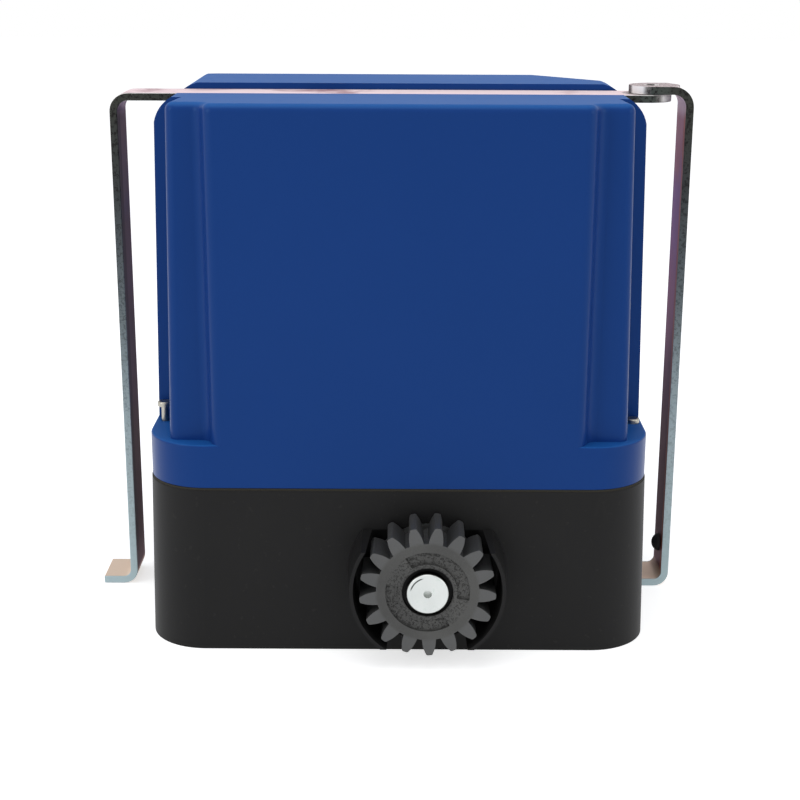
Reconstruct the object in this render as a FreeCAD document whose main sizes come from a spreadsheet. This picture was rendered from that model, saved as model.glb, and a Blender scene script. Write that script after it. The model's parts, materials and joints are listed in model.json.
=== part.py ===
import FreeCAD, Part
import math
import os
import Sketcher
from FreeCAD import Placement, Rotation, Vector

# Sliding gate motor with a two-arm theft strap, in millimetres.
# Frame: X across the gate side, -Y towards the gate and its rack, +Z up.
# The origin is on the underside of the base, in the middle of the four fixing slots.

doc = FreeCAD.newDocument("SlidingGateMotor")

# ---------------------------------------------------------------- driving sizes
SIZES = [
    # base housing
    ("base_width", 290.0), ("base_depth", 222.0), ("base_height", 96.6),
    ("base_side_draft", 2.0), ("corner_round", 34.0), ("base_wall", 4.0), ("base_floor", 5.0),
    ("slot_spacing_x", 216.0), ("slot_spacing_y", 180.0), ("slot_width", 10.5), ("slot_travel", 14.0),
    ("gasket_thickness", 1.2), ("gasket_width", 5.0),
    # gear pinion and the guard round it
    ("pinion_x", 16.5), ("pinion_height", 47.4), ("pinion_module", 4.0), ("pinion_teeth", 17.0),
    ("pinion_face", 24.5), ("pinion_reach", 27.7), ("pinion_bore_r", 12.0),
    ("pinion_recess_depth", 1.6), ("pinion_counterbore_r", 14.2), ("pinion_counterbore", 3.0),
    ("guard_inner_r", 41.0), ("guard_rim_r", 43.5), ("guard_root_r", 45.2), ("guard_bottom", 12.7),
    ("guard_top_front", 70.5), ("guard_top_back", 73.9), ("guard_recess", 3.0),
    # worm gear
    ("worm_module", 2.0), ("wheel_teeth", 34.0), ("worm_pitch_r", 10.0), ("wheel_face", 12.0),
    ("wheel_setback", 42.0), ("tooth_backlash", 0.5), ("gear_gap", 2.5),
    ("case_wall", 7.0), ("case_depth", 60.0), ("nose_r", 30.0), ("lid_thickness", 6.0),
    ("bearing_outer_r", 23.5), ("bearing_width", 12.0), ("shaft_r", 12.5), ("running_gap", 0.05),
    ("seal_width", 5.0), ("fit_gap", 0.3),
    # motor
    ("motor_r", 34.0), ("motor_length", 118.0), ("motor_shaft_r", 6.0), ("motor_flange", 5.0),
    ("worm_bearing_r", 16.0), ("worm_bearing_width", 9.0), ("rotor_r", 24.0),
    # cover
    ("shoulder_height", 123.0), ("cover_height", 311.5), ("cover_wall", 3.0), ("cover_draft", 1.15),
    ("panel_half", 98.5), ("column_half", 129.5), ("column_setback", 10.5), ("body_half", 141.4),
    ("pocket_back", 56.0), ("front_round", 4.5), ("rear_round", 10.0), ("rear_corner_r", 20.0),
    ("side_round", 20.0), ("side_round_x", 118.3), ("side_round_z", 291.8),
    ("step_r", 6.5), ("step_turn", 75.0), ("column_r", 5.0),
    ("front_deck_high", 311.2), ("front_deck_low", 308.1), ("rear_deck_low", 310.1),
    ("rear_cut_x", 50.0), ("rear_cut_y", 66.0), ("body_rear_inset", 2.5),
    ("cover_screw_x", 137.0), ("cover_screw_y", 62.0), ("cover_screw_r", 2.0),
    ("cover_screw_head_r", 4.0), ("cover_screw_length", 42.0), ("loose_screw_lift", 9.0),
    # theft strap of flat bar
    ("bar_width", 30.0), ("bar_thickness", 4.5), ("strap_top", 307.9), ("strap_gap", 0.3),
    ("left_arm_x", 170.2), ("right_arm_x", 171.4), ("eye_x", 148.5), ("eye_hole_r", 5.0),
    ("left_end_x", 145.2), ("right_end_x", 150.0),
    ("bar_bend_r", 9.0), ("left_foot", 17.0), ("right_foot_gap", 1.2), ("buffer_height", 24.0),
    ("buffer_r", 5.5), ("buffer_stem_r", 3.0), ("channel_side_gap", 1.0),
    # battery, board and power supply
    ("battery_length", 151.0), ("battery_width", 65.0), ("battery_height", 94.0),
    ("board_length", 150.0), ("board_width", 78.0), ("board_thickness", 1.6), ("tray_height", 122.0),
    ("board_button_travel", 0.6),
    # manual release on the user side
    ("release_width", 30.0), ("release_length", 46.0), ("release_thickness", 12.0),
    ("release_pin_r", 3.0), ("cam_r", 9.5), ("cam_offset", 4.0), ("rod_r", 4.0),
    ("lock_r", 8.0),
]

sheet = doc.addObject("Spreadsheet::Sheet", "Sizes")


class Size:
    """A number together with the spreadsheet formula that it comes from."""

    def __init__(self, value, formula):
        self.value = value
        self.formula = formula

    def joined(self, other, sign, swap=False):
        other = other if isinstance(other, Size) else Size(float(other), repr(float(other)))
        a, b = (other, self) if swap else (self, other)
        results = {"+": a.value + b.value, "-": a.value - b.value, "*": a.value * b.value}
        value = a.value / b.value if sign == "/" else results[sign]
        return Size(value, "(" + a.formula + " " + sign + " " + b.formula + ")")

    def __add__(self, other):
        return self.joined(other, "+")

    def __radd__(self, other):
        return self.joined(other, "+", True)

    def __sub__(self, other):
        return self.joined(other, "-")

    def __rsub__(self, other):
        return self.joined(other, "-", True)

    def __mul__(self, other):
        return self.joined(other, "*")

    def __rmul__(self, other):
        return self.joined(other, "*", True)

    def __truediv__(self, other):
        return self.joined(other, "/")

    def __neg__(self):
        return self.joined(-1, "*")


class Sheet:
    """The driving sizes by name."""


S = Sheet()
for row, (alias, value) in enumerate(SIZES, start=1):
    sheet.set("A" + str(row), alias)
    sheet.set("B" + str(row), str(value))
    sheet.setAlias("B" + str(row), alias)
    setattr(S, alias, Size(value, "Sizes." + alias))
doc.recompute()


def number(size):
    return size.value if isinstance(size, Size) else float(size)


def root(size):
    return Size(math.sqrt(size.value), "sqrt(" + size.formula + ")")


def tangent(size):
    return Size(math.tan(math.radians(size.value)), "tan(" + size.formula + ")")


def sine(size):
    return Size(math.sin(math.radians(size.value)), "sin(" + size.formula + ")")


def cosine(size):
    return Size(math.cos(math.radians(size.value)), "cos(" + size.formula + ")")


def bind(thing, **sizes):
    """Bind properties of an object to formulas on the sheet."""
    for name, size in sizes.items():
        if isinstance(size, Size):
            thing.setExpression(name, size.formula)
        else:
            setattr(thing, name, size)
    return thing


def place(thing, x, y, z, turn=None):
    """Put an object at x, y, z, with an optional (axis, degrees) turn."""
    rotation = Rotation(Vector(*turn[0]), turn[1]) if turn else Rotation()
    thing.Placement = Placement(Vector(number(x), number(y), number(z)), rotation)
    for axis, size in zip("xyz", (x, y, z)):
        if isinstance(size, Size):
            thing.setExpression("Placement.Base." + axis, size.formula)
    return thing


# ---------------------------------------------------------------- simple solids
ALONG = {"z": None, "y": ((1, 0, 0), -90), "x": ((0, 1, 0), 90)}


def block(name, length, width, height, x, y, z):
    """A box from its lowest corner."""
    thing = doc.addObject("Part::Box", name)
    bind(thing, Length=length, Width=width, Height=height)
    return place(thing, x, y, z)


def centred(name, length, width, height, x, y, z):
    """A box standing on z with its middle over x, y."""
    return block(name, length, width, height, x - length / 2, y - width / 2, z)


def rod(name, radius, length, x, y, z, along="z"):
    """A cylinder that starts at x, y, z."""
    thing = doc.addObject("Part::Cylinder", name)
    bind(thing, Radius=radius, Height=length)
    return place(thing, x, y, z, ALONG[along])


def fused(name, *pieces):
    thing = doc.addObject("Part::MultiFuse", name)
    thing.Shapes = list(pieces)
    thing.Refine = True
    return thing


def group(name, *pieces):
    """Separate equal solids kept as one node."""
    thing = doc.addObject("Part::Compound", name)
    thing.Links = list(pieces)
    return thing


def cut(name, base, *tools):
    thing = doc.addObject("Part::Cut", name)
    thing.Base = base
    thing.Tool = tools[0] if len(tools) == 1 else fused(name + "_tools", *tools)
    return thing


def ring(name, outer, inner, length, x, y, z, along="z"):
    return cut(name, rod(name + "_outer", outer, length, x, y, z, along),
               rod(name + "_bore", inner, length, x, y, z, along))


def rounded(name, thing, radius, picked):
    """Round the edges of a Part object that the test picked(edge) accepts."""
    doc.recompute()
    fillet = doc.addObject("Part::Fillet", name)
    fillet.Base = thing
    size = number(radius)
    fillet.Edges = [(i, size, size) for i, e in enumerate(thing.Shape.Edges, start=1) if picked(e)]
    return fillet


# ---------------------------------------------------------------- sketches and bodies
def new_body(name):
    return doc.addObject("PartDesign::Body", name)


def plane(body, role):
    return [p for p in body.Origin.OriginFeatures if p.Role == role][0]


def new_sketch(body, role, offset=0.0):
    """A sketch on one of the body's own planes, moved along the plane's normal."""
    sketch = body.newObject("Sketcher::SketchObject", body.Name + "_sketch")
    sketch.AttachmentSupport = [(plane(body, role), "")]
    sketch.MapMode = "FlatFace"
    sketch.AttachmentOffset = Placement(Vector(0, 0, number(offset)), Rotation())
    if isinstance(offset, Size):
        sketch.setExpression("AttachmentOffset.Base.z", offset.formula)
    return sketch


def fix_point(sketch, item, point, x, y):
    """Hold one end of a sketch line or arc at x, y."""
    for kind, size in (("DistanceX", x), ("DistanceY", y)):
        index = sketch.addConstraint(Sketcher.Constraint(kind, -1, 1, item, point, number(size)))
        if isinstance(size, Size):
            sketch.setExpression("Constraints[" + str(index) + "]", size.formula)


def fix_radius(sketch, item, radius):
    index = sketch.addConstraint(Sketcher.Constraint("Radius", item, number(radius)))
    if isinstance(radius, Size):
        sketch.setExpression("Constraints[" + str(index) + "]", radius.formula)


def arc_between(p, q, radius, left):
    """The short arc from p to q; its middle lies to the left or right of the way from p to q."""
    chord = q.sub(p)
    half = chord.Length / 2
    rise = math.sqrt(max(radius * radius - half * half, 0.0))
    normal = Vector(-chord.y, chord.x, 0).normalize()
    centre = p.add(q).multiply(0.5).add(normal.multiply(rise if left else -rise))
    first, last = (p, q) if left else (q, p)
    a = math.atan2(first.y - centre.y, first.x - centre.x)
    b = math.atan2(last.y - centre.y, last.x - centre.x)
    b = b if b > a else b + 2 * math.pi
    return Part.ArcOfCircle(Part.Circle(centre, Vector(0, 0, 1), radius), a, b)


def outline(sketch, start, *steps):
    """A closed outline. A step is (x, y) for a line, or (x, y, radius, turn) for an arc,
    where turn is 'left' for an arc that bends to the left and 'right' for the other."""
    here = start
    for step in list(steps):
        p = Vector(number(here[0]), number(here[1]), 0)
        q = Vector(number(step[0]), number(step[1]), 0)
        if len(step) == 2:
            item = sketch.addGeometry(Part.LineSegment(p, q), False)
            ends = (1, 2)
        else:
            left = step[3] == "left"
            item = sketch.addGeometry(arc_between(p, q, number(step[2]), left), False)
            ends = (1, 2) if left else (2, 1)
            fix_radius(sketch, item, step[2])
        fix_point(sketch, item, ends[0], here[0], here[1])
        fix_point(sketch, item, ends[1], step[0], step[1])
        here = step
    return sketch


def circle(sketch, x, y, radius):
    item = sketch.addGeometry(Part.Circle(Vector(number(x), number(y), 0), Vector(0, 0, 1), number(radius)))
    fix_point(sketch, item, 3, x, y)
    fix_radius(sketch, item, radius)
    return sketch


def rounded_rectangle(sketch, half_x, half_y, radius, x=0.0, y=0.0):
    left, right, low, high = x - half_x, x + half_x, y - half_y, y + half_y
    return outline(sketch, (left + radius, low), (right - radius, low),
                   (right, low + radius, radius, "left"), (right, high - radius),
                   (right - radius, high, radius, "left"), (left + radius, high),
                   (left, high - radius, radius, "left"), (left, low + radius),
                   (left + radius, low, radius, "left"))


def feature(body, kind, name, sketch, **settings):
    thing = body.newObject("PartDesign::" + kind, body.Name + "_" + name)
    thing.Profile = sketch
    bind(thing, **settings)
    sketch.Visibility = False
    return thing


def pad(body, sketch, length, **settings):
    return feature(body, "Pad", "pad", sketch, Length=length, **settings)


def pocket(body, sketch, length, **settings):
    """A pocket that must really take material away."""
    doc.recompute()
    before = body.Shape.Volume
    thing = feature(body, "Pocket", "pocket", sketch, Length=length, **settings)
    doc.recompute()
    if not thing.Shape.Volume < before - 1e-3:
        raise ValueError("a pocket of " + body.Name + " cuts nothing")
    return thing


def soften(body, kind, radius, picked):
    """Fillet or Chamfer the edges that the test picked(edge) accepts."""
    doc.recompute()
    base = body.Tip
    names = ["Edge" + str(i) for i, e in enumerate(base.Shape.Edges, start=1) if picked(e)]
    if not names:
        raise ValueError("no edge to soften on " + body.Name)
    thing = body.newObject("PartDesign::" + kind, body.Name + "_" + kind.lower())
    thing.Base = (base, names)
    bind(thing, **{"Radius" if kind == "Fillet" else "Size": radius})
    doc.recompute()
    return thing


def spun(body, sketch, angle=360.0):
    """Turn a sketch about its first construction line."""
    thing = body.newObject("PartDesign::Revolution", body.Name + "_turned")
    thing.Profile = sketch
    thing.ReferenceAxis = (sketch, ["Axis0"])
    thing.Angle = angle
    return thing


def axis_line(sketch, x1, y1, x2, y2):
    item = sketch.addGeometry(Part.LineSegment(Vector(number(x1), number(y1), 0),
                                               Vector(number(x2), number(y2), 0)), True)
    fix_point(sketch, item, 1, x1, y1)
    fix_point(sketch, item, 2, x2, y2)


def repeated(body, original, count):
    """Turn a feature into a full circle of equal ones about the body's own Z axis."""
    pattern = body.newObject("PartDesign::PolarPattern", body.Name + "_pattern")
    pattern.Originals = [original]
    z_axis = [a for a in body.Origin.OriginFeatures if a.Role == "Z_Axis"][0]
    pattern.Axis = (z_axis, [""])
    pattern.Angle = 360.0
    bind(pattern, Occurrences=count)
    body.Tip = pattern
    return pattern


# ---------------------------------------------------------------- shared places
half_width = S.base_width / 2
half_depth = S.base_depth / 2
front = -half_depth                                   # the gate-side face of the base
axis_x, axis_z = S.pinion_x, S.pinion_height          # the output shaft runs along Y through here
recess_floor = front + S.guard_recess
case_front = recess_floor + S.base_wall
case_rear = case_front + S.case_depth
wheel_y = front + S.wheel_setback
wheel_tip_r = S.worm_module * (S.wheel_teeth / 2 + 1)
wheel_cavity_r = wheel_tip_r + S.gear_gap
worm_x = axis_x + S.worm_module * S.wheel_teeth / 2 + S.worm_pitch_r
case_top = axis_z + wheel_cavity_r + S.case_wall
case_right = worm_x + S.worm_bearing_r + S.case_wall
case_left = axis_x - wheel_cavity_r - S.case_wall
cover_bottom = S.base_height + S.gasket_thickness + S.fit_gap
seat_gap = 0.02                                       # between pieces pressed or keyed together


# ---------------------------------------------------------------- base housing
def make_base_housing():
    """The moulded tub with the round guard for the pinion on its gate side."""
    body = new_body("base_housing")
    # the guard ring, thinner and larger inside towards its rim, is cut open above and below
    ring_sketch = new_sketch(body, "XY_Plane", axis_z)
    rim = front - S.pinion_reach
    inside = front + S.base_wall
    outline(ring_sketch, (axis_x + S.guard_inner_r + 0.5, rim), (axis_x + S.guard_rim_r, rim),
            (axis_x + S.guard_root_r, front), (axis_x + S.guard_root_r, inside),
            (axis_x + S.guard_inner_r, inside), (axis_x + S.guard_inner_r, front),
            (axis_x + S.guard_inner_r + 0.5, rim))
    axis_line(ring_sketch, axis_x, front - S.pinion_reach, axis_x, front)
    spun(body, ring_sketch)
    opening = new_sketch(body, "YZ_Plane")
    high = axis_z + S.guard_root_r + 5
    outline(opening, (inside + 1, S.guard_top_back), (inside + 1, high), (rim - 1, high),
            (rim - 1, S.guard_top_front), (front, S.guard_top_back), (inside + 1, S.guard_top_back))
    pocket(body, opening, 200.0, Midplane=True)
    lower = new_sketch(body, "YZ_Plane")
    outline(lower, (inside + 1, S.guard_bottom), (rim - 1, S.guard_bottom), (rim - 1, -S.base_height),
            (inside + 1, -S.base_height), (inside + 1, S.guard_bottom))
    pocket(body, lower, 200.0, Midplane=True)
    # the tub is drafted on its two sides
    foot = new_sketch(body, "XY_Plane")
    rounded_rectangle(foot, half_width, half_depth, S.corner_round)
    brim = new_sketch(body, "XY_Plane", S.base_height)
    rounded_rectangle(brim, half_width - S.base_side_draft, half_depth, S.corner_round)
    loft = feature(body, "AdditiveLoft", "tub", foot)
    loft.Sections = [brim]
    loft.Ruled = True
    hollow = new_sketch(body, "XY_Plane", S.base_floor)
    inner_half = half_width - S.base_side_draft - S.base_wall
    rounded_rectangle(hollow, inner_half, half_depth - S.base_wall, S.corner_round - S.base_wall)
    pocket(body, hollow, S.base_height, Reversed=True)
    # recess in the face behind the gear, with a flat top, and a thicker wall behind it
    backing = new_sketch(body, "XZ_Plane", -(front + S.base_wall / 2))
    rounded_rectangle(backing, S.guard_inner_r + S.base_wall, S.guard_inner_r - 1, 8.0, axis_x, axis_z)
    pad(body, backing, S.base_wall / 2 + S.guard_recess, Reversed=True)
    recess = new_sketch(body, "XZ_Plane", -front)
    rise = S.guard_top_back - axis_z
    reach = root(S.guard_inner_r * S.guard_inner_r - rise * rise)
    outline(recess, (axis_x - reach, S.guard_top_back),
            (axis_x - S.guard_inner_r, axis_z, S.guard_inner_r, "left"),
            (axis_x, axis_z - S.guard_inner_r, S.guard_inner_r, "left"),
            (axis_x + S.guard_inner_r, axis_z, S.guard_inner_r, "left"),
            (axis_x + reach, S.guard_top_back, S.guard_inner_r, "left"),
            (axis_x - reach, S.guard_top_back))
    pocket(body, recess, S.guard_recess)
    nose = new_sketch(body, "XZ_Plane", -front)
    circle(nose, axis_x, axis_z, S.nose_r + S.fit_gap)
    pocket(body, nose, S.guard_recess + S.base_wall + 1)
    # bosses that take the two cover screws
    bosses = new_sketch(body, "XY_Plane", S.base_floor)
    for side in (-1, 1):
        circle(bosses, side * S.cover_screw_x, -S.cover_screw_y, S.cover_screw_r + 3)
    pad(body, bosses, S.base_height - S.base_floor)
    threads = new_sketch(body, "XY_Plane", S.base_height - S.cover_screw_length)
    for side in (-1, 1):
        circle(threads, side * S.cover_screw_x, -S.cover_screw_y, S.cover_screw_r + S.fit_gap)
    pocket(body, threads, S.cover_screw_length + 1, Reversed=True)
    # the well for the release lever, with its pin, lock slot and rod holes
    well = new_sketch(body, "XZ_Plane", -well_floor)
    well_outline(well, S.base_wall)
    pad(body, well, half_depth - S.base_wall / 2 - well_floor, Reversed=True)
    space = new_sketch(body, "XZ_Plane", -(well_floor + S.base_wall))
    well_outline(space, 0.0)
    pocket(body, space, half_depth)
    rod_hole = new_sketch(body, "XZ_Plane", -well_floor)
    circle(rod_hole, axis_x, axis_z, S.rod_r + S.fit_gap)
    pocket(body, rod_hole, S.base_wall + 1)
    pin_hole = new_sketch(body, "YZ_Plane", axis_x)
    circle(pin_hole, lever_y, axis_z, S.release_pin_r + seat_gap)
    pocket(body, pin_hole, S.release_width + 8.2, Midplane=True)
    slot = new_sketch(body, "YZ_Plane", axis_x)
    rounded_rectangle(slot, 2.5, 7.0, 1.0, tongue_y, lock_z + 3)
    pocket(body, slot, S.release_width, Reversed=True)
    # slots for the fixing bolts and two holes for cable grommets in the floor
    slots = new_sketch(body, "XY_Plane")
    for x in (-1, 1):
        for y in (-1, 1):
            half = S.slot_width / 2 + S.slot_travel / 2
            rounded_rectangle(slots, half, S.slot_width / 2, S.slot_width / 2 - 0.001,
                              x * S.slot_spacing_x / 2, y * S.slot_spacing_y / 2)
    pocket(body, slots, S.base_floor + 1, Reversed=True)
    holes = new_sketch(body, "XY_Plane")
    for y in grommet_places:
        circle(holes, grommet_x, y, grommet_r)
    pocket(body, holes, S.base_floor + 1, Reversed=True)
    return body


grommet_x = case_left - 19.5
grommet_places = (front + 36, front + 66)
grommet_r = 10.0

# places of the release lever and its lock, on the user side
lever_y = half_depth - S.release_thickness - 1
well_floor = half_depth - 33
well_low = axis_z - S.cam_r - S.cam_offset - 0.5
well_high = axis_z + S.release_length - 2.4
lock_z = axis_z + 22.6
tongue_y = lever_y - 3


def well_outline(sketch, wall):
    middle = (well_low + well_high) / 2
    half_high = (well_high - well_low) / 2 + wall
    rounded_rectangle(sketch, S.release_width / 2 + 1.5 + wall, half_high, 3.0, axis_x, middle)


def make_gasket():
    body = new_body("cover_gasket")
    seal = new_sketch(body, "XY_Plane", S.base_height)
    half = half_width - S.base_side_draft - 0.3
    rounded_rectangle(seal, half, half_depth - 0.3, S.corner_round - 0.3)
    inset = S.gasket_width
    rounded_rectangle(seal, half - inset, half_depth - 0.3 - inset, S.corner_round - 0.3 - inset)
    pad(body, seal, S.gasket_thickness)
    holes = new_sketch(body, "XY_Plane", S.base_height)
    for side in (-1, 1):
        circle(holes, side * S.cover_screw_x, -S.cover_screw_y, S.cover_screw_r + 0.5)
    pocket(body, holes, S.gasket_thickness + 1, Reversed=True)
    return body


# ---------------------------------------------------------------- output gear train
def make_pinion():
    """A cast 17-tooth rack pinion. Its own Z axis is its bore, its front face looks along +Z."""
    body = new_body("pinion")
    module = S.pinion_module
    pitch_r = module * S.pinion_teeth / 2
    tip_r = pitch_r + module
    root_r = pitch_r - module * 1.35
    disc = new_sketch(body, "XY_Plane")
    circle(disc, 0.0, 0.0, root_r)
    pad(body, disc, S.pinion_face)
    tooth = new_sketch(body, "XY_Plane")
    root_half, mid_half, tip_half = module * 1.02, module * 0.72, module * 0.36
    corner = module * 0.28
    outline(tooth, (root_r - 1.5, -root_half), (root_r + module * 0.5, -root_half * 0.92),
            (tip_r - corner, -tip_half - corner * 0.55, module * 4.6, "left"),
            (tip_r, -tip_half * 0.55, corner * 1.15, "left"), (tip_r, tip_half * 0.55),
            (tip_r - corner, tip_half + corner * 0.55, corner * 1.15, "left"),
            (root_r + module * 0.5, root_half * 0.92, module * 4.6, "left"),
            (root_r - 1.5, root_half), (root_r - 1.5, -root_half))
    tooth.AttachmentOffset = Placement(Vector(), Rotation(Vector(0, 0, 1), -3.3))
    one = pad(body, tooth, S.pinion_face)
    repeated(body, one, S.pinion_teeth)
    # a ring-shaped recess in the front face, left solid at two lands
    ring_cut = new_sketch(body, "XY_Plane", S.pinion_face)
    for start in (-12.0, 168.0):
        annular_sector(ring_cut, 16.5, 23.5, start, start + 134.0)
    pocket(body, ring_cut, S.pinion_recess_depth)
    bore = new_sketch(body, "XY_Plane")
    circle(bore, 0.0, 0.0, S.pinion_bore_r + seat_gap)
    pocket(body, bore, S.pinion_face + 1, Reversed=True)
    counterbore = new_sketch(body, "XY_Plane", S.pinion_face)
    circle(counterbore, 0.0, 0.0, S.pinion_counterbore_r)
    pocket(body, counterbore, S.pinion_counterbore)
    keyway = new_sketch(body, "XY_Plane")
    rounded_rectangle(keyway, 4.0 + seat_gap, 4.0, 0.3, 0.0, S.pinion_bore_r - 0.7 + seat_gap)
    pocket(body, keyway, S.pinion_face - S.pinion_counterbore, Reversed=True)
    place(body, axis_x, front - S.pinion_reach + S.pinion_face, axis_z, ((1, 0, 0), 90))
    return body


def annular_sector(sketch, inner, outer, start, end):
    """A ring-shaped sector of a sketch, between two angles in degrees."""
    def at(radius, degrees):
        turn = math.radians(degrees)
        return radius * math.cos(turn), radius * math.sin(turn)
    middle = (start + end) / 2
    outline(sketch, at(inner, start), at(outer, start), at(outer, middle) + (outer, "left"),
            at(outer, end) + (outer, "left"), at(inner, end), at(inner, middle) + (inner, "right"),
            at(inner, start) + (inner, "right"))


shaft_tip = front - S.pinion_reach - 2.6
shaft_rear = case_rear + S.lid_thickness - 1
bearing_front = recess_floor + S.seal_width + 1
bearing_rear = case_rear + S.lid_thickness - 1.5 - S.bearing_width
wheel_seat_r = S.shaft_r + 1.5
wheel_hub_length = S.wheel_face + 5
wheel_front = wheel_y - S.wheel_face / 2


def make_output_shaft():
    """The stepped output shaft, turned about its own axis, with keyways and a bore for the release rod."""
    body = new_body("output_shaft")
    side = new_sketch(body, "XY_Plane", axis_z)
    wheel_end = wheel_front + wheel_hub_length
    outline(side, (axis_x, shaft_tip), (axis_x + S.pinion_bore_r - 0.8, shaft_tip),
            (axis_x + S.pinion_bore_r, shaft_tip + 0.8), (axis_x + S.pinion_bore_r, front),
            (axis_x + S.shaft_r, front), (axis_x + S.shaft_r, bearing_front + S.bearing_width),
            (axis_x + wheel_seat_r + 2, bearing_front + S.bearing_width),
            (axis_x + wheel_seat_r + 2, wheel_front), (axis_x + wheel_seat_r, wheel_front),
            (axis_x + wheel_seat_r, wheel_end + 4), (axis_x + S.shaft_r, wheel_end + 4),
            (axis_x + S.shaft_r, shaft_rear), (axis_x, shaft_rear), (axis_x, shaft_tip))
    axis_line(side, axis_x, shaft_tip, axis_x, shaft_rear)
    spun(body, side)
    rod_bore = new_sketch(body, "XZ_Plane", -shaft_rear)
    circle(rod_bore, axis_x, axis_z, S.rod_r + 1)
    pocket(body, rod_bore, 32.0, Reversed=True)
    drill = new_sketch(body, "XZ_Plane", -shaft_tip)
    circle(drill, axis_x, axis_z, 2.3)
    pocket(body, drill, 4.0)
    for y, length, radius in key_places():
        way = new_sketch(body, "XZ_Plane", -y)
        rounded_rectangle(way, 4.0 + seat_gap, 4.0, 0.3, axis_x, axis_z + radius)
        pocket(body, way, length)
    for y, radius in circlip_places():
        groove = new_sketch(body, "XZ_Plane", -y)
        circle(groove, axis_x, axis_z, radius + 1)
        circle(groove, axis_x, axis_z, radius - 0.8)
        pocket(body, groove, 1.3)
    return body


def key_places():
    """Start, length and seat radius of the pinion's key and the wheel's key."""
    pinion_back = front - S.pinion_reach + S.pinion_face
    length = S.pinion_face - S.pinion_counterbore - 3
    return ((pinion_back - length - 1, length, S.pinion_bore_r),
            (wheel_front + 1, wheel_hub_length - 2, wheel_seat_r))


def circlip_places():
    """Where the two retaining rings sit: in front of the pinion and behind the worm wheel."""
    return ((front - S.pinion_reach + S.pinion_counterbore - 1.4, S.pinion_bore_r),
            (wheel_front + wheel_hub_length + 0.1, wheel_seat_r))


def make_keys():
    keys = [block("key", 8.0, length - 0.6, 7.0, axis_x - 4, y + 0.3, axis_z + radius - 4 + seat_gap)
            for y, length, radius in key_places()]
    return group("shaft_keys", *keys)


def make_circlips():
    rings = []
    for y, radius in circlip_places():
        whole = ring("circlip", radius + 1.9, radius - 0.75, 1.2, axis_x, y + 0.05, axis_z, "y")
        gap = block("circlip_gap", 7.0, 3.0, radius * 2, axis_x - 3.5, y - 1, axis_z - radius * 2)
        rings.append(cut("open_circlip", whole, gap))
    return group("shaft_circlips", *rings)


def make_worm_wheel():
    """A bronze wheel with slanted teeth that follow the worm's thread. Its own Z axis is its bore."""
    body = new_body("worm_wheel")
    module = S.worm_module
    pitch_r = module * S.wheel_teeth / 2
    root_r = pitch_r - module * 1.25
    blank = new_sketch(body, "XY_Plane", -S.wheel_face / 2)
    circle(blank, 0.0, 0.0, root_r)
    pad(body, blank, S.wheel_face)
    tooth = new_sketch(body, "XY_Plane", -S.wheel_face / 2)
    # the lead of the worm's thread over its pitch circle
    slope = module / (S.worm_pitch_r * 2)
    shift = -(slope * S.wheel_face / 2)
    tip_half, root_half = module * 0.3, module * 0.9
    outline(tooth, (root_r - 1, shift - root_half), (wheel_tip_r, shift - tip_half),
            (wheel_tip_r, shift + tip_half), (root_r - 1, shift + root_half),
            (root_r - 1, shift - root_half))
    one = pad(body, tooth, S.wheel_face, UseCustomVector=True, AlongSketchNormal=True)
    one.Direction = Vector(0, slope.value, 1)
    one.setExpression("Direction.y", slope.formula)
    repeated(body, one, S.wheel_teeth)
    hub = new_sketch(body, "XY_Plane", -S.wheel_face / 2)
    circle(hub, 0.0, 0.0, wheel_seat_r + 6)
    pad(body, hub, wheel_hub_length)
    bore = new_sketch(body, "XY_Plane", -S.wheel_face / 2)
    circle(bore, 0.0, 0.0, wheel_seat_r + seat_gap)
    pocket(body, bore, wheel_hub_length, Reversed=True)
    keyway = new_sketch(body, "XY_Plane", -S.wheel_face / 2)
    rounded_rectangle(keyway, 4.0 + seat_gap, 4.0, 0.3, 0.0, -(wheel_seat_r - 0.7 + seat_gap))
    pocket(body, keyway, wheel_hub_length, Reversed=True)
    place(body, axis_x, wheel_y, axis_z, ((1, 0, 0), -90))
    return body


# ---------------------------------------------------------------- gear case
def make_gearbox_case():
    body = new_body("gearbox_case")
    shell = new_sketch(body, "XZ_Plane", -case_front)
    middle_x = (case_left + case_right) / 2
    middle_z = (S.base_floor + case_top) / 2
    rounded_rectangle(shell, (case_right - case_left) / 2, (case_top - S.base_floor) / 2, 6.0,
                      middle_x, middle_z)
    pad(body, shell, S.case_depth, Reversed=True)
    nose = new_sketch(body, "XZ_Plane", -case_front)
    circle(nose, axis_x, axis_z, S.nose_r)
    pad(body, nose, S.base_wall)
    cavity_front = wheel_front - 8
    cavity = new_sketch(body, "XZ_Plane", -case_rear)
    circle(cavity, axis_x, axis_z, wheel_cavity_r)
    pocket(body, cavity, case_rear - cavity_front, Reversed=True)
    through = new_sketch(body, "XZ_Plane", -case_rear)
    circle(through, axis_x, axis_z, S.shaft_r + 5)
    pocket(body, through, S.case_depth + S.base_wall + 1, Reversed=True)
    seat = new_sketch(body, "XZ_Plane", -recess_floor)
    circle(seat, axis_x, axis_z, S.bearing_outer_r + seat_gap)
    pocket(body, seat, bearing_front + S.bearing_width - recess_floor)
    worm_bore = new_sketch(body, "XY_Plane", worm_bearing_low)
    circle(worm_bore, worm_x, wheel_y, S.worm_bearing_r + seat_gap)
    pocket(body, worm_bore, case_top - worm_bearing_low + 1, Reversed=True)
    return body


worm_bearing_low = S.base_floor + 6
worm_bearing_high = case_top - S.worm_bearing_width


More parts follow.
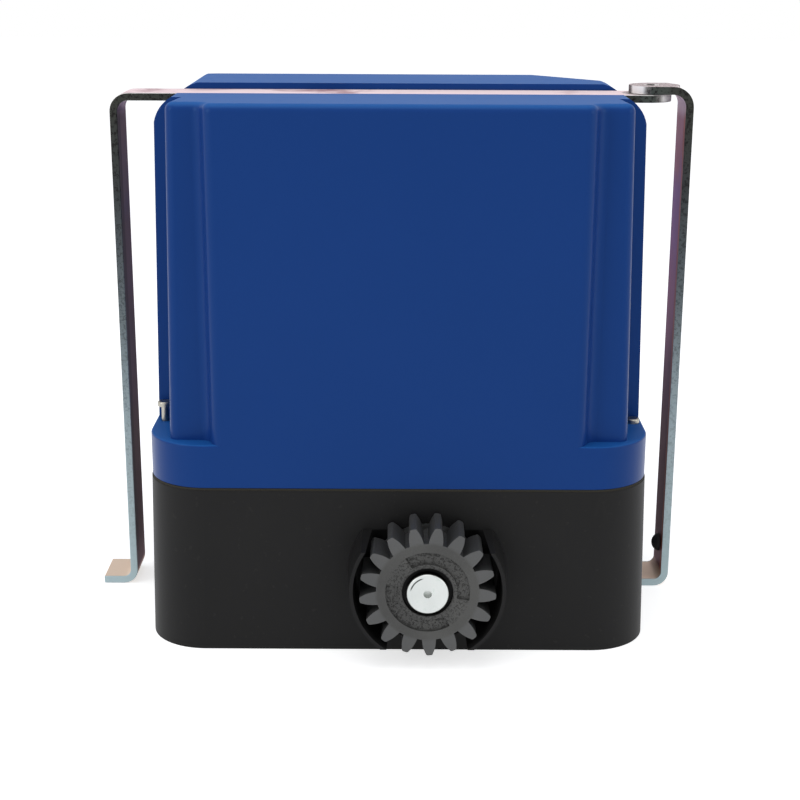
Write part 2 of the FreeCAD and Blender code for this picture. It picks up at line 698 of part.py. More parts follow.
def make_gearbox_lid():
    body = new_body("gearbox_lid")
    plate_sketch = new_sketch(body, "XZ_Plane", -case_rear)
    middle_x = (case_left + case_right) / 2
    middle_z = (S.base_floor + case_top) / 2
    rounded_rectangle(plate_sketch, (case_right - case_left) / 2, (case_top - S.base_floor) / 2, 6.0,
                      middle_x, middle_z)
    pad(body, plate_sketch, S.lid_thickness, Reversed=True)
    spigot = new_sketch(body, "XZ_Plane", -case_rear)
    circle(spigot, axis_x, axis_z, S.bearing_outer_r + 5)
    pad(body, spigot, case_rear - bearing_rear)
    seat = new_sketch(body, "XZ_Plane", -bearing_rear)
    circle(seat, axis_x, axis_z, S.bearing_outer_r + seat_gap)
    pocket(body, seat, S.bearing_width + 0.5)
    guide = new_sketch(body, "XZ_Plane", -bearing_rear)
    circle(guide, axis_x, axis_z, S.rod_r + S.fit_gap)
    pocket(body, guide, S.bearing_width + S.lid_thickness + 5)
    return body


def lid_screw_places():
    inset = 5.5
    x_places = (case_left + inset, case_right - inset)
    z_places = (S.base_floor + inset, case_top - inset)
    return [(x, z) for x in x_places for z in z_places]


def make_lid_screws():
    heads = [rod("lid_screw", 3.5, 3.0, x, case_rear + S.lid_thickness, z, "y")
             for x, z in lid_screw_places()]
    return group("gearbox_lid_screws", *heads)


def make_output_bearings():
    inner = S.shaft_r + S.running_gap
    rings = [ring("bearing", S.bearing_outer_r, inner, S.bearing_width - 0.1, axis_x, y + 0.05, axis_z, "y")
             for y in (bearing_front, bearing_rear)]
    return group("output_bearings", *rings)


def make_shaft_seal():
    return ring("shaft_seal", S.bearing_outer_r, S.shaft_r + S.running_gap, S.seal_width,
                axis_x, recess_floor + 0.5, axis_z, "y")


def make_worm_bearings():
    inner = worm_journal_r + S.running_gap
    rings = [ring("worm_bearing", S.worm_bearing_r, inner, S.worm_bearing_width - 0.1,
                  worm_x, wheel_y, z + 0.05)
             for z in (worm_bearing_low, worm_bearing_high)]
    return group("worm_bearings", *rings)


worm_journal_r = S.worm_pitch_r - S.worm_module * 1.25


def make_worm_shaft():
    """Worm and motor shaft in one piece; its own Z axis is the motor's axis."""
    body = new_body("worm_shaft")
    pitch = S.worm_module * math.pi
    low = worm_bearing_low - axis_z + 1
    high = motor_top - axis_z + 4
    step = case_top - axis_z + S.motor_flange
    side = new_sketch(body, "XZ_Plane")
    outline(side, (0.0, low), (worm_journal_r, low), (worm_journal_r, step), (S.motor_shaft_r, step),
            (S.motor_shaft_r, high), (0.0, high), (0.0, low))
    axis_line(side, 0.0, low, 0.0, high)
    spun(body, side)
    # the thread's trapezoid, thinner than half the pitch by the backlash
    thread = new_sketch(body, "XZ_Plane")
    module = S.worm_module
    pitch_half = pitch / 4 - S.tooth_backlash / 2
    flank = math.tan(math.radians(20))
    tip_half = pitch_half - module * flank
    root_half = pitch_half + module * flank * 1.25
    start = -3 * pitch
    inner = worm_journal_r - 0.3
    outline(thread, (inner, start - root_half), (S.worm_pitch_r + module, start - tip_half),
            (S.worm_pitch_r + module, start + tip_half), (inner, start + root_half),
            (inner, start - root_half))
    helix = body.newObject("PartDesign::AdditiveHelix", "worm_shaft_thread")
    helix.Profile = thread
    z_axis = [a for a in body.Origin.OriginFeatures if a.Role == "Z_Axis"][0]
    helix.ReferenceAxis = (z_axis, [""])
    helix.Mode = 0
    helix.setExpression("Pitch", pitch.formula)
    helix.setExpression("Height", (pitch * 6).formula)
    helix.LeftHanded = False
    place(body, worm_x, wheel_y, axis_z)
    return body


# ---------------------------------------------------------------- motor
motor_low = case_top + S.motor_flange
motor_top = motor_low + S.motor_length
rotor_low = motor_low + 16
rotor_length = S.motor_length - 46
magnet_r = S.motor_r - 3


def make_motor_can():
    body = new_body("motor_can")
    flange = new_sketch(body, "XY_Plane", case_top)
    rounded_rectangle(flange, S.motor_r + 2, S.motor_r + 2, 12.0, worm_x, wheel_y)
    pad(body, flange, S.motor_flange)
    can = new_sketch(body, "XY_Plane", case_top)
    circle(can, worm_x, wheel_y, S.motor_r)
    pad(body, can, S.motor_flange + S.motor_length)
    inside = new_sketch(body, "XY_Plane", motor_low)
    circle(inside, worm_x, wheel_y, magnet_r)
    pocket(body, inside, S.motor_length + 1, Reversed=True)
    passage = new_sketch(body, "XY_Plane", case_top)
    circle(passage, worm_x, wheel_y, worm_journal_r + 1)
    pocket(body, passage, S.motor_flange + 1, Reversed=True)
    return body


def make_motor_magnets():
    """Two curved magnets inside the can."""
    body_ring = ring("magnet_ring", magnet_r - seat_gap, magnet_r - 5.5, rotor_length,
                     worm_x, wheel_y, rotor_low)
    gap = block("magnet_gap", 16.0, 80.0, rotor_length + 2, worm_x - 8, wheel_y - 40, rotor_low - 1)
    return cut("motor_magnets", body_ring, gap)


def make_motor_end_cap():
    body = new_body("motor_end_cap")
    cap = new_sketch(body, "XY_Plane", motor_top)
    circle(cap, worm_x, wheel_y, S.motor_r)
    pad(body, cap, 10.0)
    spigot = new_sketch(body, "XY_Plane", motor_top)
    circle(spigot, worm_x, wheel_y, magnet_r - seat_gap)
    pad(body, spigot, 4.0, Reversed=True)
    bore = new_sketch(body, "XY_Plane", motor_top - 4)
    circle(bore, worm_x, wheel_y, S.motor_shaft_r + S.running_gap)
    pocket(body, bore, 15.0, Reversed=True)
    return body


def make_motor_screws():
    reach = S.motor_r - 4
    heads = [rod("motor_screw", 3.5, 3.5, worm_x + a * reach, wheel_y + b * reach, motor_low)
             for a in (-1, 1) for b in (-1, 1)]
    return group("motor_screws", *heads)


def make_rotor_core():
    """Laminated rotor with twelve winding slots."""
    body = new_body("rotor_core")
    disc = new_sketch(body, "XY_Plane")
    circle(disc, 0.0, 0.0, S.rotor_r)
    pad(body, disc, rotor_length)
    slot = new_sketch(body, "XY_Plane")
    rounded_rectangle(slot, 4.0, 2.0, 0.8, S.rotor_r - 3.5, 0.0)
    one = pocket(body, slot, rotor_length + 1, Reversed=True)
    repeated(body, one, 12)
    bore = new_sketch(body, "XY_Plane")
    circle(bore, 0.0, 0.0, S.motor_shaft_r + seat_gap)
    pocket(body, bore, rotor_length + 1, Reversed=True)
    place(body, worm_x, wheel_y, rotor_low)
    return body


def make_commutator():
    return ring("commutator", 11.0, S.motor_shaft_r + seat_gap, 14.0,
                worm_x, wheel_y, rotor_low + rotor_length + 4)


def make_brush_holders():
    """Two carbon brushes in their holders on the can's wall."""
    z = rotor_low + rotor_length + 7
    out = magnet_r - 11.3 - seat_gap - 0.4
    right = block("brush", out, 8.0, 8.0, worm_x + 11.3, wheel_y - 4, z)
    left = block("brush", out, 8.0, 8.0, worm_x - 11.3 - out, wheel_y - 4, z)
    return group("brush_holders", left, right)


def make_encoder_magnet():
    return rod("encoder_magnet", S.motor_shaft_r - 1, 3.0, worm_x, wheel_y, motor_top + 4)


def make_encoder_board():
    posts = [rod("encoder_post", 2.5, 7.0, worm_x + a * 20, wheel_y, motor_top + 10) for a in (-1, 1)]
    card = rod("encoder_card", 24.0, S.board_thickness, worm_x, wheel_y, motor_top + 17)
    chip = centred("encoder_chip", 8.0, 8.0, 2.0, worm_x, wheel_y, motor_top + 17 + S.board_thickness)
    return fused("encoder_board", card, chip, *posts)


# ---------------------------------------------------------------- battery and charger
battery_right = case_left - 36.5
battery_left = battery_right - S.battery_width
battery_top = S.base_floor + S.battery_height


def upright(edge):
    """A straight edge along Z."""
    box = edge.BoundBox
    return box.ZLength > 5 and box.XLength < 0.01 and box.YLength < 0.01


def make_battery():
    box = block("battery_box", S.battery_width, S.battery_length, S.battery_height,
                battery_left, -(S.battery_length / 2), S.base_floor)
    return rounded("battery", box, 3.0, upright)


def make_battery_terminals():
    tabs = []
    for y in (-55.0, 55.0):
        foot = centred("terminal_foot", 12.0, 10.0, 2.0, battery_left + 14, y, battery_top)
        blade = centred("terminal_blade", 1.0, 6.3, 9.0, battery_left + 14, y, battery_top + 2)
        tabs.append(fused("terminal", foot, blade))
    return group("battery_terminals", *tabs)


def make_battery_clamp():
    """A steel hoop over the battery, with feet on the floor."""
    body = new_body("battery_clamp")
    gap = S.fit_gap
    shape = new_sketch(body, "XZ_Plane")
    left, right, top = battery_left - gap, battery_right + gap, battery_top + gap
    thick = 2.0
    outline(shape, (left - thick, S.base_floor), (left, S.base_floor), (left, top), (right, top),
            (right, S.base_floor), (right + 16, S.base_floor), (right + 16, S.base_floor + thick),
            (right + thick, S.base_floor + thick), (right + thick, top + thick),
            (left - thick, top + thick), (left - thick, S.base_floor))
    pad(body, shape, 24.0, Midplane=True)
    return body


core_x, core_y = 92.0, 34.0


def make_transformer_core():
    outer = centred("core_outer", 60.0, 34.0, 62.0, core_x, core_y, S.base_floor + 2)
    windows = [centred("core_window", 11.0, 40.0, 42.0, core_x + a * 15, core_y, S.base_floor + 12)
               for a in (-1, 1)]
    feet = centred("core_feet", 60.0, 56.0, 2.0, core_x, core_y, S.base_floor)
    return fused("transformer_core", cut("core_stack", outer, *windows), feet)


def make_transformer_coil():
    winding = centred("coil_winding", 40.0, 48.0, 41.0, core_x, core_y, S.base_floor + 12.5)
    core = centred("coil_core", 20.0, 34.6, 60.0, core_x, core_y, S.base_floor + 4)
    turned = [centred("coil_side", 12.0, 34.6, 60.0, core_x + a * 26.5, core_y, S.base_floor + 4)
              for a in (-1, 1)]
    return cut("transformer_coil", winding, core, *turned)


# ---------------------------------------------------------------- controller
tray_left, tray_right, tray_front, tray_back = -62.0, 100.0, -24.0, 84.0
board_z = S.tray_height + 6
board_x, board_y = 19.0, 30.0
post_places = [(-57.0, -19.0), (92.0, -19.0), (-57.0, 79.0), (95.0, 79.0)]


def make_controller_tray():
    """A moulded tray on four long posts, with four short pillars for the board."""
    body = new_body("controller_tray")
    deck = new_sketch(body, "XY_Plane", S.tray_height)
    middle_x, middle_y = (tray_left + tray_right) / 2, (tray_front + tray_back) / 2
    rounded_rectangle(deck, (tray_right - tray_left) / 2, (tray_back - tray_front) / 2, 6.0,
                      middle_x, middle_y)
    pad(body, deck, 2.5)
    posts = new_sketch(body, "XY_Plane", S.base_floor)
    for x, y in post_places:
        circle(posts, x, y, 4.5)
    pad(body, posts, S.tray_height - S.base_floor + 1)
    pillars = new_sketch(body, "XY_Plane", S.tray_height)
    for a in (-1, 1):
        for b in (-1, 1):
            circle(pillars, board_x + a * (S.board_length / 2 - 5), board_y + b * (S.board_width / 2 - 5), 3.5)
    pad(body, pillars, board_z - S.tray_height)
    return body


def make_tray_screws():
    heads = [rod("tray_screw", 4.0, 2.6, x, y, S.tray_height + 2.5) for x, y in post_places]
    return group("tray_screws", *heads)


def make_control_board():
    return centred("control_board", S.board_length, S.board_width, S.board_thickness,
                   board_x, board_y, board_z)


board_top = board_z + S.board_thickness


def make_terminal_blocks():
    """Two rows of plug-in terminals along the board's front edge."""
    blocks = []
    for x, count in ((-26.0, 8), (38.0, 10)):
        length = count * 5.08
        housing = centred("terminal_housing", length, 11.0, 12.0, x, board_y - 30, board_top)
        holes = []
        for i in range(count):
            at = x - length / 2 + 5.08 * (i + 0.5)
            holes.append(centred("wire_way", 3.4, 6.0, 4.0, at, board_y - 34, board_top + 2))
            holes.append(rod("screw_way", 1.7, 5.0, at, board_y - 29, board_top + 8))
        blocks.append(cut("terminal_block", housing, *holes))
    return group("terminal_blocks", *blocks)


def make_relays():
    places = [(-38.0, 26.0), (-16.0, 26.0), (6.0, 26.0)]
    return group("relays", *[centred("relay", 18.0, 14.0, 15.0, x, board_y + b, board_top)
                             for x, b in places])


def make_heat_sink():
    """A finned aluminium heat sink, its fins all alike."""
    body = new_body("heat_sink")
    sole = new_sketch(body, "XY_Plane", board_top)
    rounded_rectangle(sole, 18.0, 15.0, 1.0, 64.0, board_y + 18)
    pad(body, sole, 4.0)
    fins = new_sketch(body, "XY_Plane", board_top)
    for i in range(7):
        rounded_rectangle(fins, 1.0, 15.0, 0.4, 64.0 + (i - 3) * 5.6, board_y + 18)
    pad(body, fins, 24.0)
    return body


def make_status_display():
    return centred("status_display", 38.0, 19.0, 8.0, 20.0, board_y + 2, board_top)


def make_fuse_holder():
    base = centred("fuse_base", 26.0, 9.0, 5.0, -34.0, board_y + 4, board_top)
    tube = rod("fuse_tube", 2.6, 20.0, -44.0, board_y + 4, board_top + 7, "x")
    clips = [centred("fuse_clip", 3.0, 6.5, 8.5, -34.0 + a * 9, board_y + 4, board_top) for a in (-1, 1)]
    return fused("fuse_holder", base, tube, *clips)


button_places = (46.0, 58.0, 70.0)
button_r = 3.4


def make_board_button(index):
    """A push button that moves in its square switch."""
    return rod("board_button_" + str(index + 1), button_r, 5.0, button_places[index], board_y - 12,
               board_top + 1 + S.board_button_travel)


def make_button_switches():
    """Square switch housings, open above for their buttons."""
    housings = []
    for x in button_places:
        shell = centred("switch_shell", 9.4, 9.4, 5.0, x, board_y - 12, board_top)
        well = rod("switch_well", button_r + 0.1, 5.0, x, board_y - 12, board_top + 0.6)
        housings.append(cut("switch", shell, well))
    return group("button_switches", *housings)


def make_board_screws():
    heads = []
    for a in (-1, 1):
        for b in (-1, 1):
            heads.append(rod("board_screw", 2.8, 2.2, board_x + a * (S.board_length / 2 - 5),
                             board_y + b * (S.board_width / 2 - 5), board_top))
    return group("board_screws", *heads)


def make_cable_grommets():
    rings = []
    for y in grommet_places:
        collar = ring("grommet_collar", grommet_r - seat_gap, 6.0, S.base_floor, grommet_x, y, 0.0)
        lip = ring("grommet_lip", grommet_r + 2.5, 6.0, 2.0, grommet_x, y, S.base_floor)
        rings.append(fused("grommet", collar, lip))
    return group("cable_grommets", *rings)


# ---------------------------------------------------------------- manual release
def make_release_pin():
    length = S.release_width + 8
    return rod("release_pivot_pin", S.release_pin_r, length, axis_x - length / 2, lever_y, axis_z, "x")


def make_release_lever():
    """The lever with its eccentric cam. Its own X axis is the pivot."""
    body = new_body("release_lever")
    half = S.release_width / 2
    plate = new_sketch(body, "YZ_Plane")
    outline(plate, (0.5, 0.0), (S.release_thickness + 0.5, 0.0),
            (S.release_thickness + 0.5, S.release_length - 6),
            (S.release_thickness - 1.5, S.release_length - 5), (0.5, S.release_length - 5), (0.5, 0.0))
    pad(body, plate, half * 2, Midplane=True)
    hub = new_sketch(body, "YZ_Plane")
    circle(hub, 0.0, 0.0, S.release_pin_r + 3.5)
    pad(body, hub, half * 2, Midplane=True)
    cam = new_sketch(body, "YZ_Plane")
    slant = S.cam_offset * math.sqrt(0.5)
    circle(cam, slant, -slant, S.cam_r)
    pad(body, cam, 10.0, Midplane=True)
    bore = new_sketch(body, "YZ_Plane")
    circle(bore, 0.0, 0.0, S.release_pin_r + S.running_gap)
    pocket(body, bore, half * 2 + 2, Midplane=True)
    lock_hole = new_sketch(body, "XZ_Plane", -(S.release_thickness + 1))
    circle(lock_hole, 0.0, lock_z - axis_z, S.lock_r + S.running_gap)
    pocket(body, lock_hole, S.release_thickness + 2, Reversed=True)
    grip = new_sketch(body, "XZ_Plane", -(S.release_thickness + 1))
    rounded_rectangle(grip, half - 5, 2.5, 2.0, 0.0, S.release_length - 10)
    pocket(body, grip, 2.5, Reversed=True)
    place(body, axis_x, lever_y, axis_z)
    return body


def make_lock_barrel():
    body = new_body("lock_barrel")
    disc = new_sketch(body, "XZ_Plane", -(S.release_thickness + 1))
    circle(disc, 0.0, lock_z - axis_z, S.lock_r)
    pad(body, disc, S.release_thickness + 1)
    key_way = new_sketch(body, "XZ_Plane", -(S.release_thickness + 1))
    rounded_rectangle(key_way, 1.2, 4.5, 0.5, 0.0, lock_z - axis_z)
    pocket(body, key_way, 6.0, Reversed=True)
    place(body, axis_x, lever_y, axis_z)
    return body


def make_lock_cam():
    """The flat tongue behind the lock barrel."""
    middle = rod("tongue_hub", 6.0, 3.0, axis_x, tongue_y - 1.5, lock_z, "y")
    tongue = block("tongue_arm", 7.0, 3.0, 18.5, axis_x - 3.5, tongue_y - 1.5, lock_z)
    neck = rod("tongue_neck", 4.0, 1.5, axis_x, tongue_y + 1.5, lock_z, "y")
    return fused("lock_cam", middle, tongue, neck)


rod_tip = shaft_rear - 14
rod_head = lever_y - S.cam_r + S.cam_offset * math.sqrt(0.5) - S.fit_gap


def make_release_rod():
    stem = rod("rod_stem", S.rod_r, rod_head - rod_tip, axis_x, rod_tip, axis_z, "y")
    head = rod("rod_head", 7.0, 3.0, axis_x, rod_head - 3, axis_z, "y")
    return fused("release_rod", stem, head)


# ---------------------------------------------------------------- cover
skirt_half = half_width - S.base_side_draft - 0.4
panel_y = front + 0.4
lean_rate = tangent(S.cover_draft)
form_low = S.shoulder_height - 8
gutter = S.bar_width / 2 + S.channel_side_gap


def rear_outline(sketch, half, back, inset):
    """The plan of the cover's rear block, with one corner cut off."""
    low = -S.pocket_back + inset
    slant = root(S.rear_cut_x * S.rear_cut_x + S.rear_cut_y * S.rear_cut_y)
    across, along = S.rear_cut_y / slant, S.rear_cut_x / slant
    cut_side = back - S.rear_cut_y + inset * (across - 1) / along
    cut_back = half - S.rear_cut_x + inset * (along - 1) / across
    side, rear = half - inset, back - inset
    corner = S.rear_corner_r - inset
    outline(sketch, (-side, low), (side, low), (side, cut_side), (cut_back, rear),
            (-side + corner, rear), (-side, rear - corner, corner, "left"), (-side, low))


def front_outline(sketch, column, setback, inset):
    """The plan of the cover's front block: a flat panel between two columns set back from it.
    The step between them is a slanting wall that two arcs blend in."""
    face = panel_y + inset
    column_face = panel_y + setback
    across, along = sine(S.step_turn), cosine(S.step_turn)
    small, large = S.step_r - inset, S.step_r + inset
    wall = (column_face - panel_y - S.step_r * (1 - along) * 2) * along / across
    foot = S.panel_half + S.step_r * across * 2 + wall
    near_x, near_y = S.panel_half + small * across, panel_y + S.step_r - small * along
    far_x, far_y = foot - large * across, column_face - S.step_r + large * along
    r = S.column_r
    corner = r - inset
    back = -40.0
    outline(sketch, (-S.panel_half, face), (S.panel_half, face), (near_x, near_y, small, "left"),
            (far_x, far_y), (foot, column_face + inset, large, "right"),
            (column - r, column_face + inset), (column - inset, column_face + r, corner, "left"),
            (column - inset, back), (-column + inset, back), (-column + inset, column_face + r),
            (-column + r, column_face + inset, corner, "left"), (-foot, column_face + inset),
            (-far_x, far_y, large, "right"), (-near_x, near_y), (-S.panel_half, face, small, "left"))


def block_between(body, draw, low, high, *shapes):
    """A ruled loft from one plan at the foot to a slightly smaller one at the top."""
    lower = new_sketch(body, "XY_Plane", low)
    draw(lower, *shapes[0])
    upper = new_sketch(body, "XY_Plane", high)
    draw(upper, *shapes[1])
    loft = feature(body, "AdditiveLoft", "block", lower)
    loft.Sections = [upper]
    loft.Ruled = True
    doc.recompute()
    return loft


def cover_form(name, inset):
    """The cover's shape as a solid, with every face moved in by inset."""
    body = new_body(name)
    top = S.cover_height - inset
    low = form_low - inset
    skirt = new_sketch(body, "XY_Plane", cover_bottom - inset)
    rounded_rectangle(skirt, skirt_half - inset, half_depth - 0.4 - inset, S.corner_round - inset)
    pad(body, skirt, S.shoulder_height - cover_bottom)
    if not inset:
        soften(body, "Fillet", 1.2, lambda e: e.BoundBox.ZMin > S.shoulder_height.value - 0.01)
    lean_low = (low - S.shoulder_height) * lean_rate
    lean_top = (top - S.shoulder_height) * lean_rate
    rear = half_depth - S.body_rear_inset
    block_between(body, rear_outline, low, top, (S.body_half - lean_low, rear, inset),
                  (S.body_half - lean_top, rear - lean_top * 0.4, inset))
    high = number(top) - 0.01
    pocket_line = -number(S.pocket_back) + number(inset)
    soften(body, "Fillet", S.rear_round - inset,
           lambda e: e.BoundBox.ZMin > high and e.BoundBox.YMax > pocket_line + 1)
    round_sides(body, inset)
    block_between(body, front_outline, low, top, (S.column_half, S.column_setback, inset),
                  (S.column_half - lean_top, S.column_setback + 1.5, inset))
    slope_decks(body, inset)
    if not inset:
        deck = number(S.front_deck_low)
        soften(body, "Fillet", S.front_round,
               lambda e: e.BoundBox.ZMin > deck and e.BoundBox.YMin < pocket_line - 1
               and e.BoundBox.YMax < pocket_line + 1)
    return body


def round_sides(body, inset):
    """Take off both upper side edges along one large arc that runs the whole depth."""
    x, z, radius = S.side_round_x, S.side_round_z, S.side_round - inset
    past = S.side_round + 20
    corners = new_sketch(body, "XZ_Plane")
    outline(corners, (x, z + radius), (x + radius, z, radius, "right"), (x + past, z),
            (x + past, z + past), (x, z + past), (x, z + radius))
    outline(corners, (-x, z + radius), (-x - radius, z, radius, "left"), (-x - past, z),
            (-x - past, z + past), (-x, z + past), (-x, z + radius))
    pocket(body, corners, half_depth * 2 + 20, Midplane=True)


def slope_decks(body, inset):
    """Let the front deck fall towards the strap channel and the rear deck fall to the back."""
    above = S.cover_height + 20
    low, high = S.front_deck_low - inset, S.front_deck_high - inset
    ends = new_sketch(body, "YZ_Plane")
    outline(ends, (-half_depth, high), (-gutter, low), (-gutter / 2, low), (-gutter / 2, above),
            (-half_depth, above), (-half_depth, high))
    outline(ends, (gutter, S.cover_height - inset), (half_depth, S.rear_deck_low - inset),
            (half_depth, above), (gutter, above), (gutter, S.cover_height - inset))
    pocket(body, ends, half_width * 2 + 20, Midplane=True)


def make_cover():
    """One moulding: thin walls, a channel across the roof for the strap, and two screw pillars."""
    outside = cover_form("cover_outside", 0.0)
    inside = cover_form("cover_inside", S.cover_wall)
    shell = cut("cover_shell", outside, inside)
    floor = channel_floor
    wall = S.cover_wall
    slab = doc.addObject("Part::MultiCommon", "cover_trough")
    slab.Shapes = [outside, block("trough_block", 320.0, (gutter + wall) * 2, S.cover_height - floor + wall,
                                  -160.0, -(gutter + wall), floor - wall)]
    pillars = [rod("cover_pillar", S.cover_screw_r + 3, S.shoulder_height - cover_bottom - 1,
                   side * S.cover_screw_x, -S.cover_screw_y, cover_bottom) for side in (-1, 1)]
    whole = fused("cover_whole", shell, slab, *pillars)
    channel = block("roof_channel", 320.0, gutter * 2, 30.0, -160.0, -gutter, floor)
    holes = [rod("cover_hole", S.cover_screw_r + S.fit_gap, 60.0, side * S.cover_screw_x,
                 -S.cover_screw_y, S.base_height) for side in (-1, 1)]
    return cut("cover", whole, channel, *holes)


bar_low = S.strap_top - S.bar_thickness
channel_floor = bar_low - S.strap_gap


def make_cover_screw(name, side, lift):
    """A pan-head screw with a cross slot, as long as the pillar and the boss need."""
    body = new_body(name)
    seat = S.shoulder_height + lift
    x, y = side * S.cover_screw_x, -S.cover_screw_y
    head = new_sketch(body, "XY_Plane", seat + 0.02)
    circle(head, x, y, S.cover_screw_head_r)
    pad(body, head, 2.8)
    soften(body, "Fillet", 0.9, lambda e: e.BoundBox.ZMin > number(seat) + 2)
    shank = new_sketch(body, "XY_Plane", seat - S.cover_screw_length)
    circle(shank, x, y, S.cover_screw_r)
    pad(body, shank, S.cover_screw_length + 1)
    for a, b in ((2.2, 0.5), (0.5, 2.2)):
        cross = new_sketch(body, "XY_Plane", seat + 2.8)
        rounded_rectangle(cross, a, b, 0.2, x, y)
        pocket(body, cross, 1.4)
    return body


# ---------------------------------------------------------------- theft strap
def make_strap_left_arm():
    body = new_body("strap_left_arm")
    out, inner = -S.left_arm_x, -S.left_arm_x + S.bar_thickness
    top, under = S.strap_top, bar_low
    bend, tight = S.bar_bend_r, S.bar_bend_r - S.bar_thickness
    high = bend + 2
    side = new_sketch(body, "XZ_Plane")
    outline(side, (out - S.left_foot, 0.0), (inner - bend, 0.0), (inner, bend, bend, "left"),
            (inner, top - high), (out + high, under, high - S.bar_thickness, "right"),
            (S.left_end_x, under), (S.left_end_x, top), (out + high, top),
            (out, top - high, high, "left"), (out, bend), (inner - bend, S.bar_thickness, tight, "right"),
            (out - S.left_foot, S.bar_thickness), (out - S.left_foot, 0.0))
    pad(body, side, S.bar_width, Midplane=True)
    return add_eye(body, under, S.left_end_x)


def add_eye(body, under, end_x):
    """A round end with its padlock hole, which both arms have at the same place."""
    end = new_sketch(body, "XY_Plane", under)
    circle(end, end_x, 0.0, S.bar_width / 2)
    pad(body, end, S.bar_thickness)
    hole = new_sketch(body, "XY_Plane", under)
    circle(hole, S.eye_x, 0.0, S.eye_hole_r)
    pocket(body, hole, S.bar_thickness + 1, Reversed=True)
    return body


def make_strap_right_arm():
    body = new_body("strap_right_arm")
    out, inner = S.right_arm_x, S.right_arm_x - S.bar_thickness
    under = S.strap_top + S.strap_gap
    top = under + S.bar_thickness
    bend, tight = S.bar_bend_r, S.bar_bend_r - S.bar_thickness
    high = bend + 3
    foot = half_width + S.right_foot_gap
    side = new_sketch(body, "XZ_Plane")
    outline(side, (foot, 0.0), (out - bend, 0.0), (out, bend, bend, "left"), (out, top - high),
            (out - high, top, high, "left"), (S.right_end_x, top), (S.right_end_x, under),
            (out - high, under),
            (inner, top - high, high - S.bar_thickness, "right"), (inner, bend),
            (out - bend, S.bar_thickness, tight, "right"), (foot, S.bar_thickness), (foot, 0.0))
    pad(body, side, S.bar_width, Midplane=True)
    body = add_eye(body, under, S.right_end_x)
    hole = new_sketch(body, "YZ_Plane", inner)
    circle(hole, 0.0, S.buffer_height, S.buffer_stem_r)
    pocket(body, hole, S.bar_thickness + 1, Reversed=True)
    return body


def make_strap_buffer():
    """A push-in rubber buffer with a domed head; its own Z axis points at the cover."""
    body = new_body("strap_buffer")
    side = new_sketch(body, "XZ_Plane")
    stem = S.buffer_stem_r - seat_gap
    dome = S.buffer_r
    brim, crown = 1.2, 4.5
    dome_r = (dome * dome + (crown - brim) ** 2) / (2 * (crown - brim))
    outline(side, (0.0, -S.bar_thickness), (stem, -S.bar_thickness), (stem, 0.0), (dome, 0.0),
            (dome, brim), (0.0, crown, dome_r, "left"), (0.0, -S.bar_thickness))
    axis_line(side, 0.0, -S.bar_thickness, 0.0, crown)
    spun(body, side)
    place(body, S.right_arm_x - S.bar_thickness, 0.0, S.buffer_height, ((0, 1, 0), -90))
    return body


# ---------------------------------------------------------------- the whole motor
def make_cover_screws():
    """The left screw is undone by several turns, the right one is home."""
    return group("cover_screws", make_cover_screw("loose_screw", -1, S.loose_screw_lift),
                 make_cover_screw("tight_screw", 1, 0.0))


pieces = [
    make_base_housing(), make_gasket(), make_pinion(), make_output_shaft(), make_keys(),
    make_circlips(), make_worm_wheel(), make_gearbox_case(), make_gearbox_lid(), make_lid_screws(),
    make_output_bearings(), make_shaft_seal(), make_worm_bearings(), make_worm_shaft(),
    make_motor_can(), make_motor_magnets(), make_motor_end_cap(), make_motor_screws(),
    make_rotor_core(), make_commutator(), make_brush_holders(), make_encoder_magnet(),
    make_encoder_board(), make_battery(), make_battery_terminals(), make_battery_clamp(),
    make_transformer_core(), make_transformer_coil(), make_controller_tray(), make_tray_screws(),
    make_control_board(), make_terminal_blocks(), make_relays(), make_heat_sink(),
    make_status_display(), make_fuse_holder(), make_button_switches(), make_board_button(0),
    make_board_button(1), make_board_button(2), make_board_screws(), make_cable_grommets(),
    make_release_pin(), make_release_lever(), make_lock_barrel(), make_lock_cam(),
    make_release_rod(), make_cover(), make_cover_screws(), make_strap_left_arm(),
    make_strap_right_arm(), make_strap_buffer(),
]
doc.recompute()

for thing in doc.Objects:
    if "Invalid" in thing.State or "Error" in thing.State:
        raise ValueError(thing.Name + " is " + " ".join(thing.State))

os.makedirs("parts", exist_ok=True)
for piece in pieces:
    piece.Label = piece.Name
    shape = piece.Shape
    if shape.isNull() or not shape.isValid() or not shape.Solids:
        raise ValueError(piece.Name + " is not a valid solid")
    shape.exportStep(os.path.join("parts", piece.Label + ".step"))
    print(piece.Label, len(shape.Solids), "solid(s)", round(shape.Volume), "mm3")
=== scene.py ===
# %% [markdown]
# # Dressing a sliding gate motor
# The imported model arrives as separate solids: a black base with a rack pinion, a blue cover,
# a flat-bar theft strap and everything under the cover. This lesson gives every solid a finish,
# adds the small fittings that make the inside read as real, and sets up a plain studio.

# %% Load the frame
import json
import math

import bmesh
import bpy
from mathutils import Matrix, Vector


